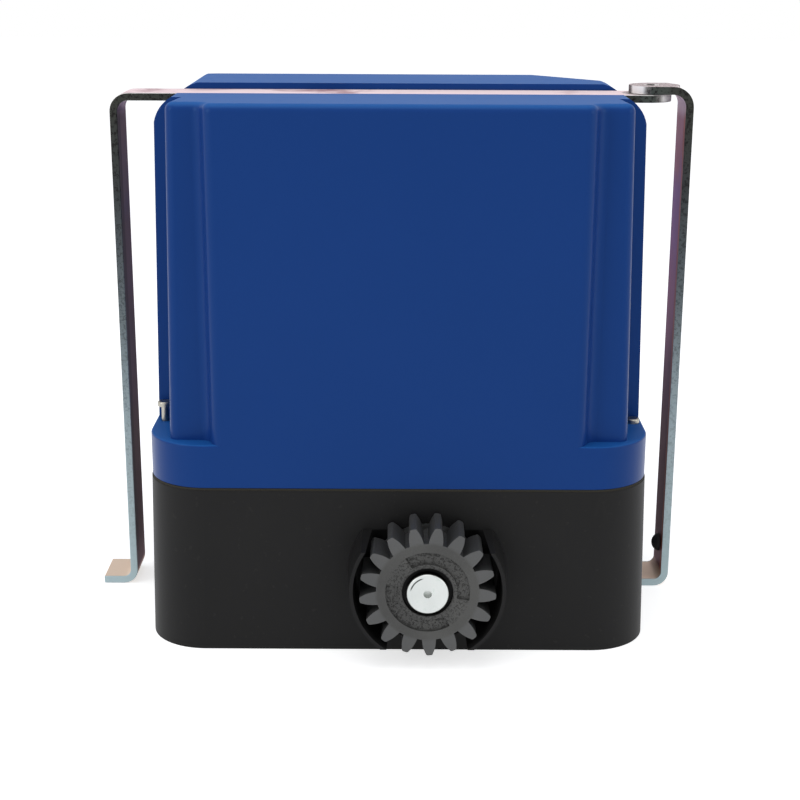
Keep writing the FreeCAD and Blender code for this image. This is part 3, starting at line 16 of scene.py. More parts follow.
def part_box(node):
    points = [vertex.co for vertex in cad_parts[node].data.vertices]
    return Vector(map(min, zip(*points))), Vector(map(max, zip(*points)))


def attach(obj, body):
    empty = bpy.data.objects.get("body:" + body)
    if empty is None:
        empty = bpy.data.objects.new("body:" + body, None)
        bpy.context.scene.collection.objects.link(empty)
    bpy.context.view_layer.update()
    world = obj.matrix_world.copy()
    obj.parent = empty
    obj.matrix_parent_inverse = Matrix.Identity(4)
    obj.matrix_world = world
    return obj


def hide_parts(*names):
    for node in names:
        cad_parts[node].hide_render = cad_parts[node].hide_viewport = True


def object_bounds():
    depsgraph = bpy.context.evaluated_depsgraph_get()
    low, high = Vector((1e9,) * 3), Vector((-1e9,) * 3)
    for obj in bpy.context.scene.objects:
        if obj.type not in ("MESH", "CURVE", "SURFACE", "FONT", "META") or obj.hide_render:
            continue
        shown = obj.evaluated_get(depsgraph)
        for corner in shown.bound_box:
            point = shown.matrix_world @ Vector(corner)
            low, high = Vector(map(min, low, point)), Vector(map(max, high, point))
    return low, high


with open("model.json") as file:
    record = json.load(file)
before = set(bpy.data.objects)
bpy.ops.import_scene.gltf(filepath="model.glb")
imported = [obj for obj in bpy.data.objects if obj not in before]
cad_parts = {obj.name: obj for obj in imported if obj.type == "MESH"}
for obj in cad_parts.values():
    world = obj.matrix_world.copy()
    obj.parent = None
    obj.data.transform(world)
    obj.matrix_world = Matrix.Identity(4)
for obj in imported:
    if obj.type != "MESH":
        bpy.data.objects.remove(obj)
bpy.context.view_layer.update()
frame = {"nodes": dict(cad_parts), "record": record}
nodes = frame["nodes"]

# %% [markdown]
# ## Shader maths as plain expressions
# A procedural finish is mostly arithmetic on masks. Wiring each Math node by hand hides the idea,
# so one class wraps a socket and lets Python operators add the nodes. Colours go through Mix nodes
# instead, because a Math node would turn a colour grey.

# %% A wrapped socket and a small graph
class Wire:
    """The output of a node, ready for arithmetic."""

    def __init__(self, graph, socket):
        self.graph = graph
        self.socket = socket

    def maths(self, operation, a, b=0.0, clamp=False):
        return self.graph.node("Math", {"operation": operation, "use_clamp": clamp}, {0: a, 1: b})

    def __add__(self, other):
        return self.maths("ADD", self, other)

    def __radd__(self, other):
        return self.maths("ADD", other, self)

    def __sub__(self, other):
        return self.maths("SUBTRACT", self, other)

    def __rsub__(self, other):
        return self.maths("SUBTRACT", other, self)

    def __mul__(self, other):
        return self.maths("MULTIPLY", self, other)

    def __rmul__(self, other):
        return self.maths("MULTIPLY", other, self)

    def __pow__(self, other):
        return self.maths("POWER", self, other)

    def sine(self):
        return self.maths("SINE", self)

    def size(self):
        return self.maths("ABSOLUTE", self)

    def clamped(self):
        return self.maths("ADD", self, 0.0, True)


class Graph:
    """One material and its nodes."""

    def __init__(self, name):
        self.material = bpy.data.materials.new(name)
        self.material.use_nodes = True
        self.tree = self.material.node_tree
        self.tree.nodes.clear()
        self.place = self.node("TexCoord", output="Object")

    def node(self, kind, settings=None, inputs=None, output=0):
        """Add a node: its type, its settings, and the values or wires of its sockets."""
        item = self.tree.nodes.new("ShaderNode" + kind)
        for key, value in (settings or {}).items():
            if key == "stops":
                ramp = item.color_ramp.elements
                while len(ramp) < len(value):
                    ramp.new(0.5)
                for element, (position, colour) in zip(ramp, value):
                    element.position = position
                    element.color = colour
            else:
                setattr(item, key, value)
        for key, value in (inputs or {}).items():
            if isinstance(value, Wire):
                self.tree.links.new(value.socket, item.inputs[key])
            else:
                item.inputs[key].default_value = value
        return Wire(self, item.outputs[output])

    def noise(self, scale, detail=3.0, roughness=0.5, stretch=None, distortion=0.0):
        place = self.place
        if stretch:
            place = self.node("Mapping", {}, {"Vector": self.place, "Scale": stretch})
        return self.node("TexNoise", {}, {"Vector": place, "Scale": scale, "Detail": detail,
                                          "Roughness": roughness, "Distortion": distortion})

    def cells(self, scale):
        return self.node("TexVoronoi", {}, {"Vector": self.place, "Scale": scale})

    def axes(self):
        split = self.node("SeparateXYZ", {}, {"Vector": self.place}).socket.node
        return [Wire(self, split.outputs[i]) for i in range(3)]

    def ramp(self, factor, *stops):
        return self.node("ValToRGB", {"stops": [(p, opaque(c)) for p, c in stops]}, {"Fac": factor})

    def step(self, value, low, high):
        """0 below low, 1 above high, smooth between them."""
        return self.node("MapRange", {"interpolation_type": "SMOOTHSTEP"},
                         {"Value": value, "From Min": low, "From Max": high})

    def mix(self, factor, a, b):
        """Colour a where factor is 0, colour b where it is 1."""
        a, b = (x if isinstance(x, Wire) else opaque(x) for x in (a, b))
        item = self.tree.nodes.new("ShaderNodeMix")
        item.data_type = "RGBA"
        for key, value in ((0, factor), (6, a), (7, b)):
            if isinstance(value, Wire):
                self.tree.links.new(value.socket, item.inputs[key])
            else:
                item.inputs[key].default_value = value
        return Wire(self, item.outputs[2])

    def bump(self, height, depth):
        return self.node("Bump", {}, {"Height": height, "Distance": depth})

    def finish(self, **sockets):
        """The surface shader. Names use _ for a space."""
        inputs = {key.replace("_", " "): value for key, value in sockets.items()}
        if "Base Color" in inputs and not isinstance(inputs["Base Color"], Wire):
            inputs["Base Color"] = opaque(inputs["Base Color"])
        shader = self.node("BsdfPrincipled", {}, inputs, "BSDF")
        self.node_out(shader)
        return self.material

    def node_out(self, shader):
        target = self.tree.nodes.new("ShaderNodeOutputMaterial")
        self.tree.links.new(shader.socket, target.inputs["Surface"])


def opaque(colour):
    return (*colour[:3], 1.0)


def paint(r, g, b):
    """A colour given as 0 to 255 screen values (sRGB), as the linear numbers that shaders use."""
    return tuple((c / 255 / 12.92) if c < 10.3 else ((c / 255 + 0.055) / 1.055) ** 2.4
                 for c in (r, g, b))


cover_blue = paint(19, 57, 125)
# A lighter blue, painted on the faces that look up as painted top light.
top_lit_blue = paint(26, 84, 154)
print("blue of the cover in linear light:", [round(c, 3) for c in cover_blue])

# %% [markdown]
# ## Moulded plastics
# Injection-moulded housings show three scales at once: a fine eroded grain from the tool, a slow
# drift of gloss where the melt cooled unevenly, and handling scuffs that only change roughness.
# One function makes all of them, so black base, blue cover and grey battery stay a family. It can
# also paint a region near black as painted shade, and lighten and dull the faces that look up, the lighter
# colour being painted top light.

# %% Plastic
lost_gloss = 0.29


def plastic(name, colour, grain, grain_scale, gloss, drift=0.12, dust=0.0, shine=0.3,
            lift=0.12, recess_shade=None, tint=(1.0, 1.0, 1.0), top_lit=None):
    g = Graph(name)
    slow = g.noise(9.0, 4.0)
    fine = g.noise(grain_scale, 2.0, 0.6)
    scuff = g.step(g.noise(45.0, 5.0, 0.75, (1.0, 1.0, 0.35)), 0.56, 0.74)
    specks = g.step(g.noise(260.0, 2.0), 0.66, 0.72)
    light = tuple(min(1.0, c * (1 + lift) + 0.002) for c in colour)
    dark = tuple(c * (1 - lift) for c in colour)
    shade = g.mix(slow, dark, light)
    if dust:
        shade = g.mix((slow * 0.6 + scuff * 0.5 + specks * 0.6) * dust, shade, paint(150, 146, 138))
    rough = gloss + (slow - 0.5) * drift + scuff * 0.10 + specks * 0.03
    # Where a mask is given, that region is painted near black: painted shade in a recess.
    if recess_shade:
        shade = g.mix(recess_shade(g), shade, paint(7, 7, 8))
    # Faces that look up take a lighter colour, which is painted top light, and they also turn rougher.
    if top_lit:
        normal = g.node("NewGeometry", output="Normal")
        upward = g.node("SeparateXYZ", {}, {"Vector": normal}, "Z")
        looks_up = g.step(upward, 0.35, 0.95)
        shade = g.mix(looks_up, shade, top_lit)
        rough = rough + looks_up * lost_gloss
    height = fine * 0.7 + g.noise(grain_scale * 0.3, 3.0) * 0.5
    return g.finish(Base_Color=shade, Roughness=rough, Normal=g.bump(height, grain),
                    Specular_IOR_Level=shine, Specular_Tint=opaque(tint))


shaft_low, shaft_high = (Vector(c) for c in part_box("output_shaft"))
shaft_centre = (shaft_low + shaft_high) / 2
base_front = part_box("cover_gasket")[0][1]
shade_radius = 0.040  # just inside the guard
shade_reach = 0.036  # back from the base's front, well short of its rear wall


def from_axis(g, centre):
    """Distance from a line along Y through the centre, with both offsets from it."""
    x, _, z = g.axes()
    dx, dz = x - centre.x, z - centre.z
    return (dx * dx + dz * dz) ** 0.5, dx, dz


def recess_painted_shade(g):
    """The recess behind the pinion, painted near black as painted shade."""
    radius = from_axis(g, shaft_centre)[0]
    y = g.axes()[1]
    behind_face = g.step(y, base_front + 0.0008, base_front + 0.0014)
    within_reach = 1 - g.step(y, base_front + shade_reach - 0.002, base_front + shade_reach)
    within_guard = 1 - g.step(radius, shade_radius - 0.001, shade_radius)
    return within_guard * behind_face * within_reach * 0.85


black_shell = plastic("black_shell", paint(17, 17, 18), grain=0.00006, grain_scale=1500.0, gloss=0.50,
                      drift=0.10, dust=0.03, shine=0.16, recess_shade=recess_painted_shade)
black_parts = plastic("black_parts", paint(30, 30, 31), grain=0.00006, grain_scale=1500.0, gloss=0.50,
                      drift=0.10, dust=0.03)
blue_shell = plastic("blue_shell", cover_blue, grain=0.00002, grain_scale=900.0, gloss=0.32,
                     drift=0.08, shine=0.20, lift=0.04, tint=(0.42, 0.74, 1.0), top_lit=top_lit_blue)
print("plastics:", black_shell.name, blue_shell.name)

# %% [markdown]
# ## Metals
# A metal's colour is its reflection, so it is told apart by how the surface scatters light: a
# casting is rough and pitted, turned work has fine rings, drawn bar has long streaks, and a
# passivated zinc coat shifts slowly from tan through pink to blue where it is thicker.

# %% Castings and machined metal
def metal(name, colour, rough, pit_scale, pits=0.0, streak=None, stain=0.15, metallic=1.0):
    g = Graph(name)
    slow = g.noise(28.0, 4.0, 0.6)
    mottle = g.noise(pit_scale, 4.0, 0.65)
    lines = g.noise(700.0, 3.0, 0.6, streak) if streak else mottle
    dark = tuple(c * (1 - stain) for c in colour)
    light = tuple(min(1.0, c * (1 + stain)) for c in colour)
    shade = g.mix(slow * 0.6 + lines * 0.4, dark, light)
    roughness = rough + (slow - 0.5) * 0.14 + (lines - 0.5) * 0.12
    height = mottle * pits + lines * 0.15
    return g.finish(Base_Color=shade, Metallic=metallic, Roughness=roughness,
                    Normal=g.bump(height, 0.0002))


cast_aluminium = metal("cast_aluminium", (0.56, 0.57, 0.58), rough=0.46, pits=0.5, pit_scale=500.0)
bearing_steel = metal("bearing_steel", (0.62, 0.62, 0.63), rough=0.22, pit_scale=400.0,
                      streak=(1.0, 1.0, 0.1))
zinc_plate = metal("zinc_plate", (0.66, 0.66, 0.64), rough=0.30, pits=0.1, pit_scale=900.0)
gear_bronze = metal("gear_bronze", (0.70, 0.47, 0.20), rough=0.30, pits=0.1, pit_scale=600.0)
winding_copper = metal("winding_copper", (0.62, 0.26, 0.11), rough=0.32, pit_scale=500.0,
                       streak=(1.0, 1.0, 14.0), stain=0.25)
magnet_ferrite = metal("magnet_ferrite", (0.055, 0.055, 0.06), rough=0.6, pits=0.3, pit_scale=700.0,
                       stain=0.1, metallic=0.1)
lamination = metal("lamination", (0.33, 0.33, 0.34), rough=0.38, pit_scale=500.0,
                   streak=(0.02, 0.02, 6.0), stain=0.2)
print("metals made")

# %% [markdown]
# ## The pinion and its shaft
# The pinion is a dark casting whose tooth flanks were cut afterwards, so the flanks are smoother and
# a little brighter than the rough face. Distance from the shaft's axis tells them apart. The shaft's
# end was faced on a lathe and plated: the same distance, through a sine, gives the turning rings. Its
# rim is painted dark as painted shade, and a dark mark curves along the upper left of its face.

# %% Pinion casting and turned shaft
def pinion_casting():
    g = Graph("pinion_casting")
    radius = from_axis(g, shaft_centre)[0]
    cut = g.step(radius, 0.0275, 0.0300)
    hub = 1 - g.step(radius, 0.0225, 0.0240)
    counterbore_shade = 1 - g.step(radius, 0.0136, 0.0150)
    rough_cast = g.noise(420.0, 5.0, 0.7)
    slow = g.noise(40.0, 4.0)
    pits = g.step(g.noise(800.0, 3.0, 0.7), 0.52, 0.62)
    shade = g.mix(slow * 0.7 + rough_cast * 0.3, paint(60, 60, 60), paint(95, 95, 93))
    shade = g.mix(cut * 0.5, shade, paint(88, 89, 90))
    shade = g.mix(hub * pits * 0.55, shade, paint(34, 33, 32))
    # The counterbore round the shaft is painted near black: painted shade in the recess.
    shade = g.mix(counterbore_shade, shade, paint(14, 13, 12))
    roughness = 0.62 - cut * 0.16 + (rough_cast - 0.5) * 0.2
    height = (rough_cast + hub * pits * 0.6) * (1 - cut * 0.75)
    return g.finish(Base_Color=shade, Metallic=0.55, Roughness=roughness, Normal=g.bump(height, 0.0005))


def turned_shaft():
    g = Graph("turned_shaft")
    radius, dx, dz = from_axis(g, shaft_centre)
    rings = (radius * 9000.0).sine() * 0.5 + 0.5
    slow = g.noise(60.0, 3.0)
    stain = g.step(g.noise(240.0, 4.0, 0.7), 0.55, 0.70)
    shade = g.mix(slow, paint(186, 190, 188), paint(222, 225, 222))
    shade = g.mix(stain * 0.35, shade, paint(168, 186, 176))
    # The rim of the shaft's end is painted dark: painted shade next to the counterbore.
    rim_shade = g.step(radius, 0.0113, 0.0117)
    mark = g.step(radius, 0.0091, 0.0093) * (1 - g.step(radius, 0.0098, 0.0101))
    mark = mark * g.step(dz - dx, 0.0110, 0.0125) * (1 - g.step(dz, 0.0088, 0.0096))
    shade = g.mix((rim_shade + mark * 0.9).clamped(), shade, paint(18, 17, 16))
    return g.finish(Base_Color=shade, Metallic=1.0, Roughness=0.27 + slow * 0.12 + rings * 0.05,
                    Normal=g.bump(rings, 0.00002))


pinion_finish = pinion_casting()
shaft_finish = turned_shaft()
print("shaft centre:", [round(c, 4) for c in shaft_centre])

# %% [markdown]
# ## The theft strap
# Flat bar with a passivated zinc coat. On the legs' wide faces the coat wanders between brown, pink
# and lilac, with a dark band along the front of the left leg and a coppery one along the right. The
# left leg's wide faces are painted darker and the right leg's lighter, as painted shade and light. The
# top is painted paler, a painted reflection, and the foot is tan. The rolled edges go from dark oxide
# above to pale blue below. Height above the ground drives the shift, and noise stretched along the bar
# breaks it up. The sheared round ends are greyer and speckled, and the arrises along the top are
# painted near white as a painted highlight.

# %% Passivated flat bar
eye_centre_x = next(m for m in frame["record"]["mounts"] if m["name"] == "padlock_eye")["pos_m"][0]
eye_reach = 0.018  # from the padlock hole, far enough to take in both round ends


def passivated_bar():
    g = Graph("passivated_bar")
    x, y, z = g.axes()
    wander = g.noise(16.0, 4.0, 0.6, (1.0, 1.0, 0.6), 0.6)
    streak = g.noise(300.0, 3.0, 0.6, (1.0, 1.0, 0.06))
    specks = g.noise(700.0, 3.0, 0.7)
    height = z * 3.2  # 0 on the ground, 1 at the top of the strap
    # The last stop, near white at the top of the strap, is a painted reflection.
    face = g.ramp((height + (wander - 0.5) * 0.5).clamped(),
                  (0.02, paint(98, 66, 60)), (0.28, paint(108, 78, 84)), (0.45, paint(138, 106, 118)),
                  (0.58, paint(150, 128, 158)), (0.68, paint(160, 120, 110)), (0.78, paint(146, 128, 164)),
                  (0.90, paint(168, 134, 140)), (0.97, paint(244, 226, 228)))
    edge = g.ramp((height + (wander - 0.5) * 0.12).clamped(),
                  (0.05, paint(184, 204, 208)), (0.32, paint(172, 188, 192)), (0.55, paint(120, 131, 133)),
                  (0.68, paint(92, 100, 102)), (0.80, paint(66, 71, 70)), (0.96, paint(62, 66, 60)))
    rolled = g.step(y.size(), 0.0140, 0.0147)
    leg = 1 - g.step(z, 0.292, 0.300)
    left = 1 - g.step(x, -0.01, 0.01)
    drifting = (height + (wander - 0.5) * 0.6).clamped()
    # The left leg's faces take a darker ramp and the right leg's a lighter one: painted shade and painted
    # light.
    shaded_side = g.ramp(drifting, (0.05, paint(66, 26, 18)), (0.45, paint(76, 38, 34)),
                       (0.62, paint(88, 50, 62)), (0.75, paint(62, 52, 78)), (0.90, paint(112, 84, 80)))
    lit_side = g.ramp(drifting, (0.05, paint(92, 52, 54)), (0.38, paint(106, 58, 76)),
                         (0.58, paint(158, 92, 136)), (0.74, paint(142, 104, 176)),
                         (0.90, paint(182, 118, 134)))
    face = g.mix(left * leg * 0.85, face, shaded_side)
    face = g.mix((1 - left) * leg * 0.85, face, lit_side)
    near = (wander - 0.5) * 0.002 - y
    face = g.mix(g.step(near, 0.0050, 0.0066) * leg * left * 0.85, face, paint(18, 16, 16))
    face = g.mix(g.step(near, 0.0086, 0.0102) * leg * (1 - left) * 0.8, face, paint(186, 100, 72))
    shade = g.mix(rolled, face, edge)
    facing = g.node("NewGeometry", output="Normal")
    level = g.node("SeparateXYZ", {}, {"Vector": facing}, "Z").size()
    aside = x - eye_centre_x
    from_eye = (aside * aside + y * y) ** 0.5
    eye = (1 - g.step(from_eye, eye_reach - 0.0015, eye_reach)) * g.step(z, 0.2975, 0.2990)
    shade = g.mix(eye * (1 - g.step(level, 0.3, 0.6)) * 0.9, shade, paint(74, 82, 76))
    shade = g.mix(eye * g.step(level, 0.3, 0.6) * 0.6, shade, paint(158, 160, 154))
    blotch = (rolled + eye).clamped() * g.step(specks, 0.50, 0.60)
    shade = g.mix(blotch * (height * 0.8).clamped(), shade, paint(14, 15, 14))
    shade = g.mix((1 - rolled) * streak * 0.15, shade, paint(150, 140, 140))
    sideways = g.node("SeparateXYZ", {}, {"Vector": facing}, "Y").size()
    # The arrises along the top are painted near white: a painted highlight.
    arris_highlight = g.step(sideways, 0.25, 0.45) * (1 - g.step(sideways, 0.80, 0.93)) * g.step(z, 0.300, 0.306)
    shade = g.mix(arris_highlight * 0.9, shade, paint(250, 248, 246))
    foot = 1 - g.step(z, 0.006, 0.011)
    shade = g.mix(foot * (1 - rolled) * 0.9, shade, paint(240, 222, 200))
    return g.finish(Base_Color=shade, Metallic=0.35, Roughness=0.46 + streak * 0.14, Specular_IOR_Level=0.2,
                    Specular_Tint=opaque(paint(212, 150, 184)),
                    Normal=g.bump(streak * 0.4 + specks * rolled, 0.0002))


bar_finish = passivated_bar()

# %% [markdown]
# Flat bar leaves the mill with rounded arrises, and those thin lines catch the light along the whole
# strap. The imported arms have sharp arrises, so each one is copied, its loose triangles are merged and
# dissolved into whole faces, and the sharp edges are bevelled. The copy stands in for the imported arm.

# %% Strap arms with rounded arrises
arris_width = 0.0006
sharp_angle = math.radians(50.0)


def as_object(name, shape, finish, smooth=None):
    """Turn a finished bmesh into an object, and free the bmesh."""
    mesh = bpy.data.meshes.new(name)
    shape.to_mesh(mesh)
    shape.free()
    if smooth is not None:
        for face in mesh.polygons:
            face.use_smooth = smooth
    mesh.materials.append(finish)
    piece = bpy.data.objects.new(name, mesh)
    bpy.context.collection.objects.link(piece)
    return piece


def rounded_copy(name, source, body):
    shape = bmesh.new()
    shape.from_mesh(nodes[source].data)
    bmesh.ops.remove_doubles(shape, verts=shape.verts, dist=0.000002)
    bmesh.ops.dissolve_limit(shape, angle_limit=math.radians(1.0), verts=shape.verts, edges=shape.edges)
    arrises = [e for e in shape.edges if e.is_manifold and e.calc_face_angle() > sharp_angle]
    bmesh.ops.bevel(shape, geom=arrises, offset=arris_width, offset_type="OFFSET", segments=3,
                    profile=0.5, affect="EDGES", material=-1, clamp_overlap=True)
    piece = as_object(name, shape, bar_finish)
    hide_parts(source)
    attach(piece, body)
    print(name, len(arrises), "arrises,", len(piece.data.polygons), "faces")


rounded_copy("strap_left_bar", "strap_left_arm", "strap_left")
rounded_copy("strap_right_bar", "strap_right_arm", "strap_right")

# %% [markdown]
# ## Rubber, foam and board materials
# Small parts still need their own look, because the cover comes off. Rubber is dull with a bloom,
# foam has open cells, and a circuit board is glossy lacquer over a faint copper pattern, made here
# from two crossed sets of thin lines.

# %% Rubber, foam, board
def rubber(name, colour):
    g = Graph(name)
    bloom = g.noise(120.0, 4.0, 0.6)
    shade = g.mix(bloom, colour, tuple(c * 1.8 + 0.006 for c in colour))
    return g.finish(Base_Color=shade, Roughness=0.62 + bloom * 0.2, Normal=g.bump(g.noise(1500.0), 0.00005))


def foam(name, colour):
    g = Graph(name)
    open_cells = g.cells(1600.0)
    shade = g.mix(open_cells, tuple(c * 0.7 for c in colour), colour)
    return g.finish(Base_Color=shade, Roughness=0.9, Normal=g.bump(open_cells, 0.0002))


def board_lacquer(name):
    g = Graph(name)
    x, y, _ = g.axes()
    along = g.step((x * 2400.0).sine() + g.noise(60.0, 1.0) * 1.2, 0.95, 1.15)
    across = g.step((y * 2000.0).sine() + g.noise(75.0, 1.0) * 1.2, 1.00, 1.20)
    island = g.step(g.noise(42.0, 1.0), 0.5, 0.53)
    track = g.mix(island, g.mix(along, (0, 0, 0), (1, 1, 1)), g.mix(across, (0, 0, 0), (1, 1, 1)))
    shade = g.mix(track, paint(18, 84, 44), paint(34, 120, 66))
    return g.finish(Base_Color=shade, Roughness=0.26 + g.noise(90.0) * 0.08, Normal=g.bump(along, 0.00003))


gasket_foam = foam("gasket_foam", paint(42, 39, 30))
spring_black = metal("spring_black", (0.012, 0.012, 0.012), rough=0.55, pits=0.1, pit_scale=900.0)
old_zinc = metal("old_zinc", (0.40, 0.38, 0.33), rough=0.30, pits=0.3, pit_scale=900.0)
black_rubber = rubber("black_rubber", paint(24, 24, 25))
board_green = board_lacquer("board_green")
battery_grey = plastic("battery_grey", paint(70, 73, 78), grain=0.00005, grain_scale=900.0, gloss=0.5,
                       drift=0.1, dust=0.03)
terminal_green = plastic("terminal_green", paint(62, 140, 78), grain=0.00003, grain_scale=900.0,
                         gloss=0.42)
white_plastic = plastic("white_plastic", paint(212, 211, 205), grain=0.00003, grain_scale=900.0,
                        gloss=0.4)
dark_tray = plastic("dark_tray", paint(52, 53, 56), grain=0.00005, grain_scale=1100.0, gloss=0.5)
relay_black = plastic("relay_black", paint(30, 30, 33), grain=0.00002, grain_scale=900.0, gloss=0.3)
display_glass = plastic("display_glass", paint(26, 30, 34), grain=0.0, grain_scale=900.0, gloss=0.12,
                        drift=0.03)
can_paint = plastic("can_paint", paint(46, 47, 50), grain=0.00008, grain_scale=600.0, gloss=0.30,
                    drift=0.1, dust=0.02, shine=0.5)
print("small-part finishes made")

# %% [markdown]
# ## Give each solid its finish
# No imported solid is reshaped: each one only gets a material. The two packed strap arms get theirs too,
# although their rounded copies stand in for them.

# %% Assign
finishes = {
    black_shell: ["base_housing"],
    black_parts: ["motor_end_cap", "button_switches", "release_lever"],
    blue_shell: ["cover"],
    gasket_foam: ["cover_gasket"],
    pinion_finish: ["pinion"],
    shaft_finish: ["output_shaft"],
    bar_finish: ["strap_left_arm", "strap_right_arm"],
    black_rubber: ["strap_buffer", "shaft_seal", "cable_grommets"],
    cast_aluminium: ["gearbox_case", "gearbox_lid", "heat_sink"],
    bearing_steel: ["output_bearings", "worm_bearings", "worm_shaft", "shaft_keys",
                    "release_pivot_pin", "release_rod", "lock_cam", "battery_clamp"],
    old_zinc: ["cover_screws"],
    spring_black: ["shaft_circlips"],
    zinc_plate: ["gearbox_lid_screws", "motor_screws", "tray_screws", "board_screws",
                 "battery_terminals", "lock_barrel"],
    gear_bronze: ["worm_wheel", "brush_holders"],
    winding_copper: ["transformer_coil", "commutator"],
    lamination: ["transformer_core", "rotor_core"],
    magnet_ferrite: ["motor_magnets", "encoder_magnet"],
    can_paint: ["motor_can"],
    battery_grey: ["battery"],
    board_green: ["control_board", "encoder_board"],
    dark_tray: ["controller_tray"],
    terminal_green: ["terminal_blocks"],
    relay_black: ["relays"],
    display_glass: ["status_display"],
    white_plastic: ["fuse_holder", "board_button_1", "board_button_2", "board_button_3"],
}
dressed = set()
for material, names in finishes.items():
    for name in names:
        nodes[name].data.materials.clear()
        nodes[name].data.materials.append(material)
        dressed.add(name)
print("dressed", len(dressed), "of", len(nodes), "left:", sorted(set(nodes) - dressed))

# %% [markdown]
# ## Small parts on the control board
# With the cover lifted the board shows. Besides its relays and terminals it needs the parts any motor
# controller has: smoothing capacitors, a processor with its legs, and rows of chip resistors. Each is
# placed from the board's own box. They are looks only, too small to matter for contact.

# %% Helpers for turned and moulded pieces
def placed_piece(name, shape, finish, body, smooth=True):
    bmesh.ops.remove_doubles(shape, verts=shape.verts, dist=0.000001)
    bmesh.ops.recalc_face_normals(shape, faces=shape.faces)
    piece = as_object(name, shape, finish, smooth)
    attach(piece, body)
    print(name, len(piece.data.polygons), "faces")


def moulded_block(shape, centre, size, round_off):
    place = Matrix.Translation(centre) @ Matrix.Diagonal((*size, 1.0))
    made = bmesh.ops.create_cube(shape, size=1.0, matrix=place)
    edges = {edge for vert in made["verts"] for edge in vert.link_edges}
    bmesh.ops.bevel(shape, geom=list(edges), offset=round_off, offset_type="OFFSET", segments=2,
                    profile=0.5, affect="EDGES", material=-1)


def turned_piece(shape, centre, outline, steps=32):
    """Turn an outline of (radius, height) points about the upright line through the centre."""
    points = [shape.verts.new((centre.x + r, centre.y, centre.z + h)) for r, h in outline]
    line = [shape.edges.new(pair) for pair in zip(points, points[1:])]
    bmesh.ops.spin(shape, geom=points + line, cent=centre, axis=(0, 0, 1), angle=2 * math.pi,
                   steps=steps, use_merge=True)


board_low, board_high = (Vector(c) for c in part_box("control_board"))


def on_board(x, y, height=0.0):
    """A place on the board's upper face, from its left front corner."""
    return Vector((board_low.x + x, board_low.y + y, board_high.z + height))


print("board", [round(v, 4) for v in board_high - board_low])

# %% [markdown]
# A smoothing capacitor is a drawn can in a shrunk sleeve. The sleeve curls over the rim and leaves the
# bare top showing, with a groove rolled in near the foot where the rubber plug is held.

# %% Capacitors
sleeves, tops = bmesh.new(), bmesh.new()
for x, y, radius, tall in ((0.0440, 0.0450, 0.0058, 0.0190), (0.0440, 0.0290, 0.0050, 0.0150),
                           (0.0820, 0.0620, 0.0063, 0.0210), (0.0300, 0.0290, 0.0032, 0.0090)):
    foot = on_board(x, y)
    turned_piece(sleeves, foot, ((0.0, 0.0003), (radius - 0.0006, 0.0003), (radius, 0.0009),
                                 (radius, 0.0018), (radius - 0.0005, 0.0024), (radius, 0.0030),
                                 (radius, tall - 0.0008), (radius - 0.0003, tall - 0.0002),
                                 (radius - 0.0010, tall), (radius - 0.0013, tall - 0.0003),
                                 (0.0, tall - 0.0003)))
    turned_piece(tops, foot, ((0.0, tall - 0.0006), (radius - 0.0014, tall - 0.0006),
                              (radius - 0.0014, tall - 0.0002), (radius - 0.0020, tall + 0.0001),
                              (0.0, tall + 0.0001)))
placed_piece("capacitor_sleeves", sleeves, black_parts, "base")
placed_piece("capacitor_tops", tops, cast_aluminium, "base")

# %% [markdown]
# The processor is a flat moulded square. Its legs leave at mid height, drop, and turn out flat on
# the board, eleven on each side.

# %% Processor and its legs
chip, legs = bmesh.new(), bmesh.new()
chip_centre = on_board(0.0215, 0.0275, 0.0012)
moulded_block(chip, chip_centre, size=(0.0100, 0.0100, 0.0016), round_off=0.0002)
legs_a_side = 11
leg_pitch = 0.0008
leg_half_width = 0.00016
for i in range(legs_a_side):
    along = (i - (legs_a_side - 1) / 2) * leg_pitch
    for turn in range(4):
        out = Vector((math.cos(turn * math.pi / 2), math.sin(turn * math.pi / 2), 0))
        side = Vector((-out.y, out.x, 0))
        start = chip_centre + side * along
        bends = ((0.0048, 0.0001), (0.0055, 0.0001), (0.0057, -0.0010), (0.0064, -0.0010),
                 (0.0064, -0.0012), (0.00555, -0.0012), (0.00535, -0.0001), (0.0048, -0.0001))
        ends = []
        for shift in (-leg_half_width, leg_half_width):
            ends.append([legs.verts.new(start + out * reach + side * shift + Vector((0, 0, rise)))
                         for reach, rise in bends])
        legs.faces.new(ends[0])
        legs.faces.new(reversed(ends[1]))
        for a in range(len(bends)):
            b = (a + 1) % len(bends)
            legs.faces.new((ends[0][b], ends[0][a], ends[1][a], ends[1][b]))
placed_piece("processor_body", chip, relay_black, "base", smooth=False)
placed_piece("processor_legs", legs, zinc_plate, "base", smooth=False)

# %% [markdown]
# Chip resistors lie in two rows in front of the relays: a dark body with a plated cap at each end.

# %% Chip resistors
bodies, caps = bmesh.new(), bmesh.new()
resistors_a_row = 14
resistor_pitch = 0.0042
row_pitch = 0.0026
for row in range(2):
    for i in range(resistors_a_row):
        centre = on_board(0.0110 + i * resistor_pitch, 0.0532 + row * row_pitch, 0.0004)
        moulded_block(bodies, centre, size=(0.0014, 0.0012, 0.0006), round_off=0.00008)
        for end in (-1, 1):
            tip = centre + Vector((end * 0.0009, 0, 0))
            moulded_block(caps, tip, size=(0.0005, 0.00125, 0.0007), round_off=0.00008)
placed_piece("resistor_bodies", bodies, relay_black, "base", smooth=False)
placed_piece("resistor_caps", caps, zinc_plate, "base", smooth=False)

# %% [markdown]
# ## Studio
# A pale floor that meets a white background, a broad overhead panel that rolls off the roof's front
# edge, and a weaker panel on each side.

# %% Floor, background and lights
low = Vector(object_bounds()[0])
floor_size = 6.0
floor_gap = 0.0002


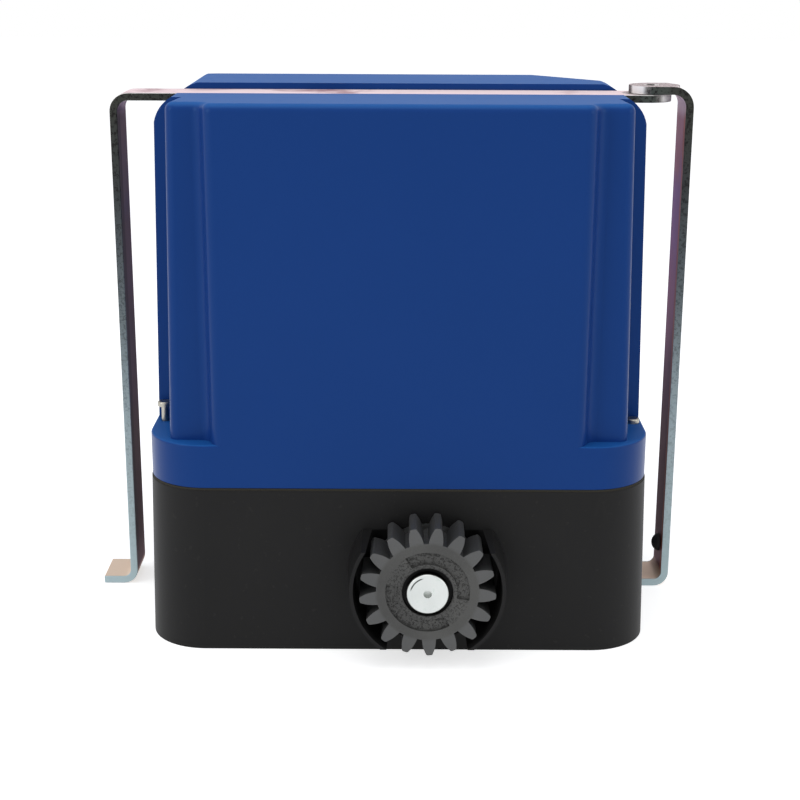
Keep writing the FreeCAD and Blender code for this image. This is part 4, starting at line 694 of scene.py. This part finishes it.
def stage_floor():
    g = Graph("stage_paper")
    rays = g.node("LightPath")
    seen = Wire(g, rays.socket.node.outputs["Is Camera Ray"])
    glossy = Wire(g, rays.socket.node.outputs["Is Glossy Ray"])
    clear = Wire(g, rays.socket.node.outputs["Is Transmission Ray"])
    direct = (seen + glossy + clear).clamped()
    diffuse = g.node("BsdfDiffuse", {}, {"Color": (0.80, 0.80, 0.80, 1.0)})
    glow = g.node("Emission", {}, {"Color": (1, 1, 1, 1), "Strength": 0.62})
    both = g.node("AddShader", {}, {0: diffuse, 1: glow})
    g.node_out(g.node("MixShader", {}, {0: direct, 1: diffuse, 2: both}))
    shape = bmesh.new()
    bmesh.ops.create_grid(shape, x_segments=1, y_segments=1, size=floor_size)
    bmesh.ops.translate(shape, verts=shape.verts, vec=(0, 0, low.z - floor_gap))
    floor = as_object("stage_floor", shape, g.material)


def background():
    world = bpy.data.worlds.new("studio")
    bpy.context.scene.world = world
    world.use_nodes = True
    tree = world.node_tree
    tree.nodes.clear()
    rays = tree.nodes.new("ShaderNodeLightPath")
    straight = tree.nodes.new("ShaderNodeMath")
    straight.operation = "ADD"
    tree.links.new(rays.outputs["Is Camera Ray"], straight.inputs[0])
    tree.links.new(rays.outputs["Is Transmission Ray"], straight.inputs[1])
    direct = tree.nodes.new("ShaderNodeMath")
    direct.operation = "ADD"
    tree.links.new(straight.outputs[0], direct.inputs[0])
    tree.links.new(rays.outputs["Is Glossy Ray"], direct.inputs[1])
    direct.use_clamp = True
    white = tree.nodes.new("ShaderNodeBackground")
    white.inputs["Strength"].default_value = 1.0
    white.inputs["Color"].default_value = (1, 1, 1, 1)
    soft = tree.nodes.new("ShaderNodeBackground")
    soft.inputs["Color"].default_value = (0.95, 0.97, 1.0, 1)
    soft.inputs["Strength"].default_value = 0.55
    mix = tree.nodes.new("ShaderNodeMixShader")
    target = tree.nodes.new("ShaderNodeOutputWorld")
    tree.links.new(direct.outputs[0], mix.inputs[0])
    tree.links.new(soft.outputs[0], mix.inputs[1])
    tree.links.new(white.outputs[0], mix.inputs[2])
    tree.links.new(mix.outputs[0], target.inputs["Surface"])


def panel(name, place, aim, size, power):
    light = bpy.data.lights.new(name, "AREA")
    light.shape = "RECTANGLE"
    light.size, light.size_y = size
    light.energy = power
    item = bpy.data.objects.new(name, light)
    item.location = place
    item.rotation_euler = (Vector(aim) - Vector(place)).to_track_quat("-Z", "Y").to_euler()
    bpy.context.collection.objects.link(item)


stage_floor()
background()
middle = (0, 0, 0.15)
panel("overhead", place=(-0.2, -0.2, 1.7), aim=middle, size=(1.6, 1.2), power=10.0)
panel("left_side", place=(-1.6, -1.2, 0.9), aim=middle, size=(0.9, 1.2), power=9.0)
panel("right_side", place=(1.7, -0.9, 0.8), aim=middle, size=(0.7, 1.2), power=5.0)
print("studio ready")

# %% [markdown]
# ## Camera
# The camera stands in front of the motor, a little above its roof, and looks down by about sixteen
# degrees. A fairly long lens keeps the sides of the cover nearly upright.

# %% Camera
def look(place, tilt, pan, roll, lens):
    """A camera that looks along +Y, tilted down, panned and rolled by small angles in degrees."""
    tilt, pan, roll = (math.radians(a) for a in (tilt, pan, roll))
    right = Vector((math.cos(pan), math.sin(pan), 0))
    forward = Vector((-math.sin(pan) * math.cos(tilt), math.cos(pan) * math.cos(tilt), -math.sin(tilt)))
    up = right.cross(forward)
    side = right * math.cos(roll) + up * math.sin(roll)
    top = up * math.cos(roll) - right * math.sin(roll)
    turn = Matrix((side, top, -forward)).transposed().to_4x4()
    data = bpy.data.cameras.new("camera")
    data.sensor_width = 36.0
    data.lens = lens
    data.clip_start = 0.01
    camera = bpy.data.objects.new("camera", data)
    camera.matrix_world = Matrix.Translation(place) @ turn
    bpy.context.collection.objects.link(camera)
    bpy.context.scene.camera = camera


look(place=(0.00181, -0.94029, 0.39109), tilt=16.1975, pan=0.0769, roll=0.2613, lens=70.42)
bpy.context.scene.view_settings.view_transform = "Standard"
print("camera set")
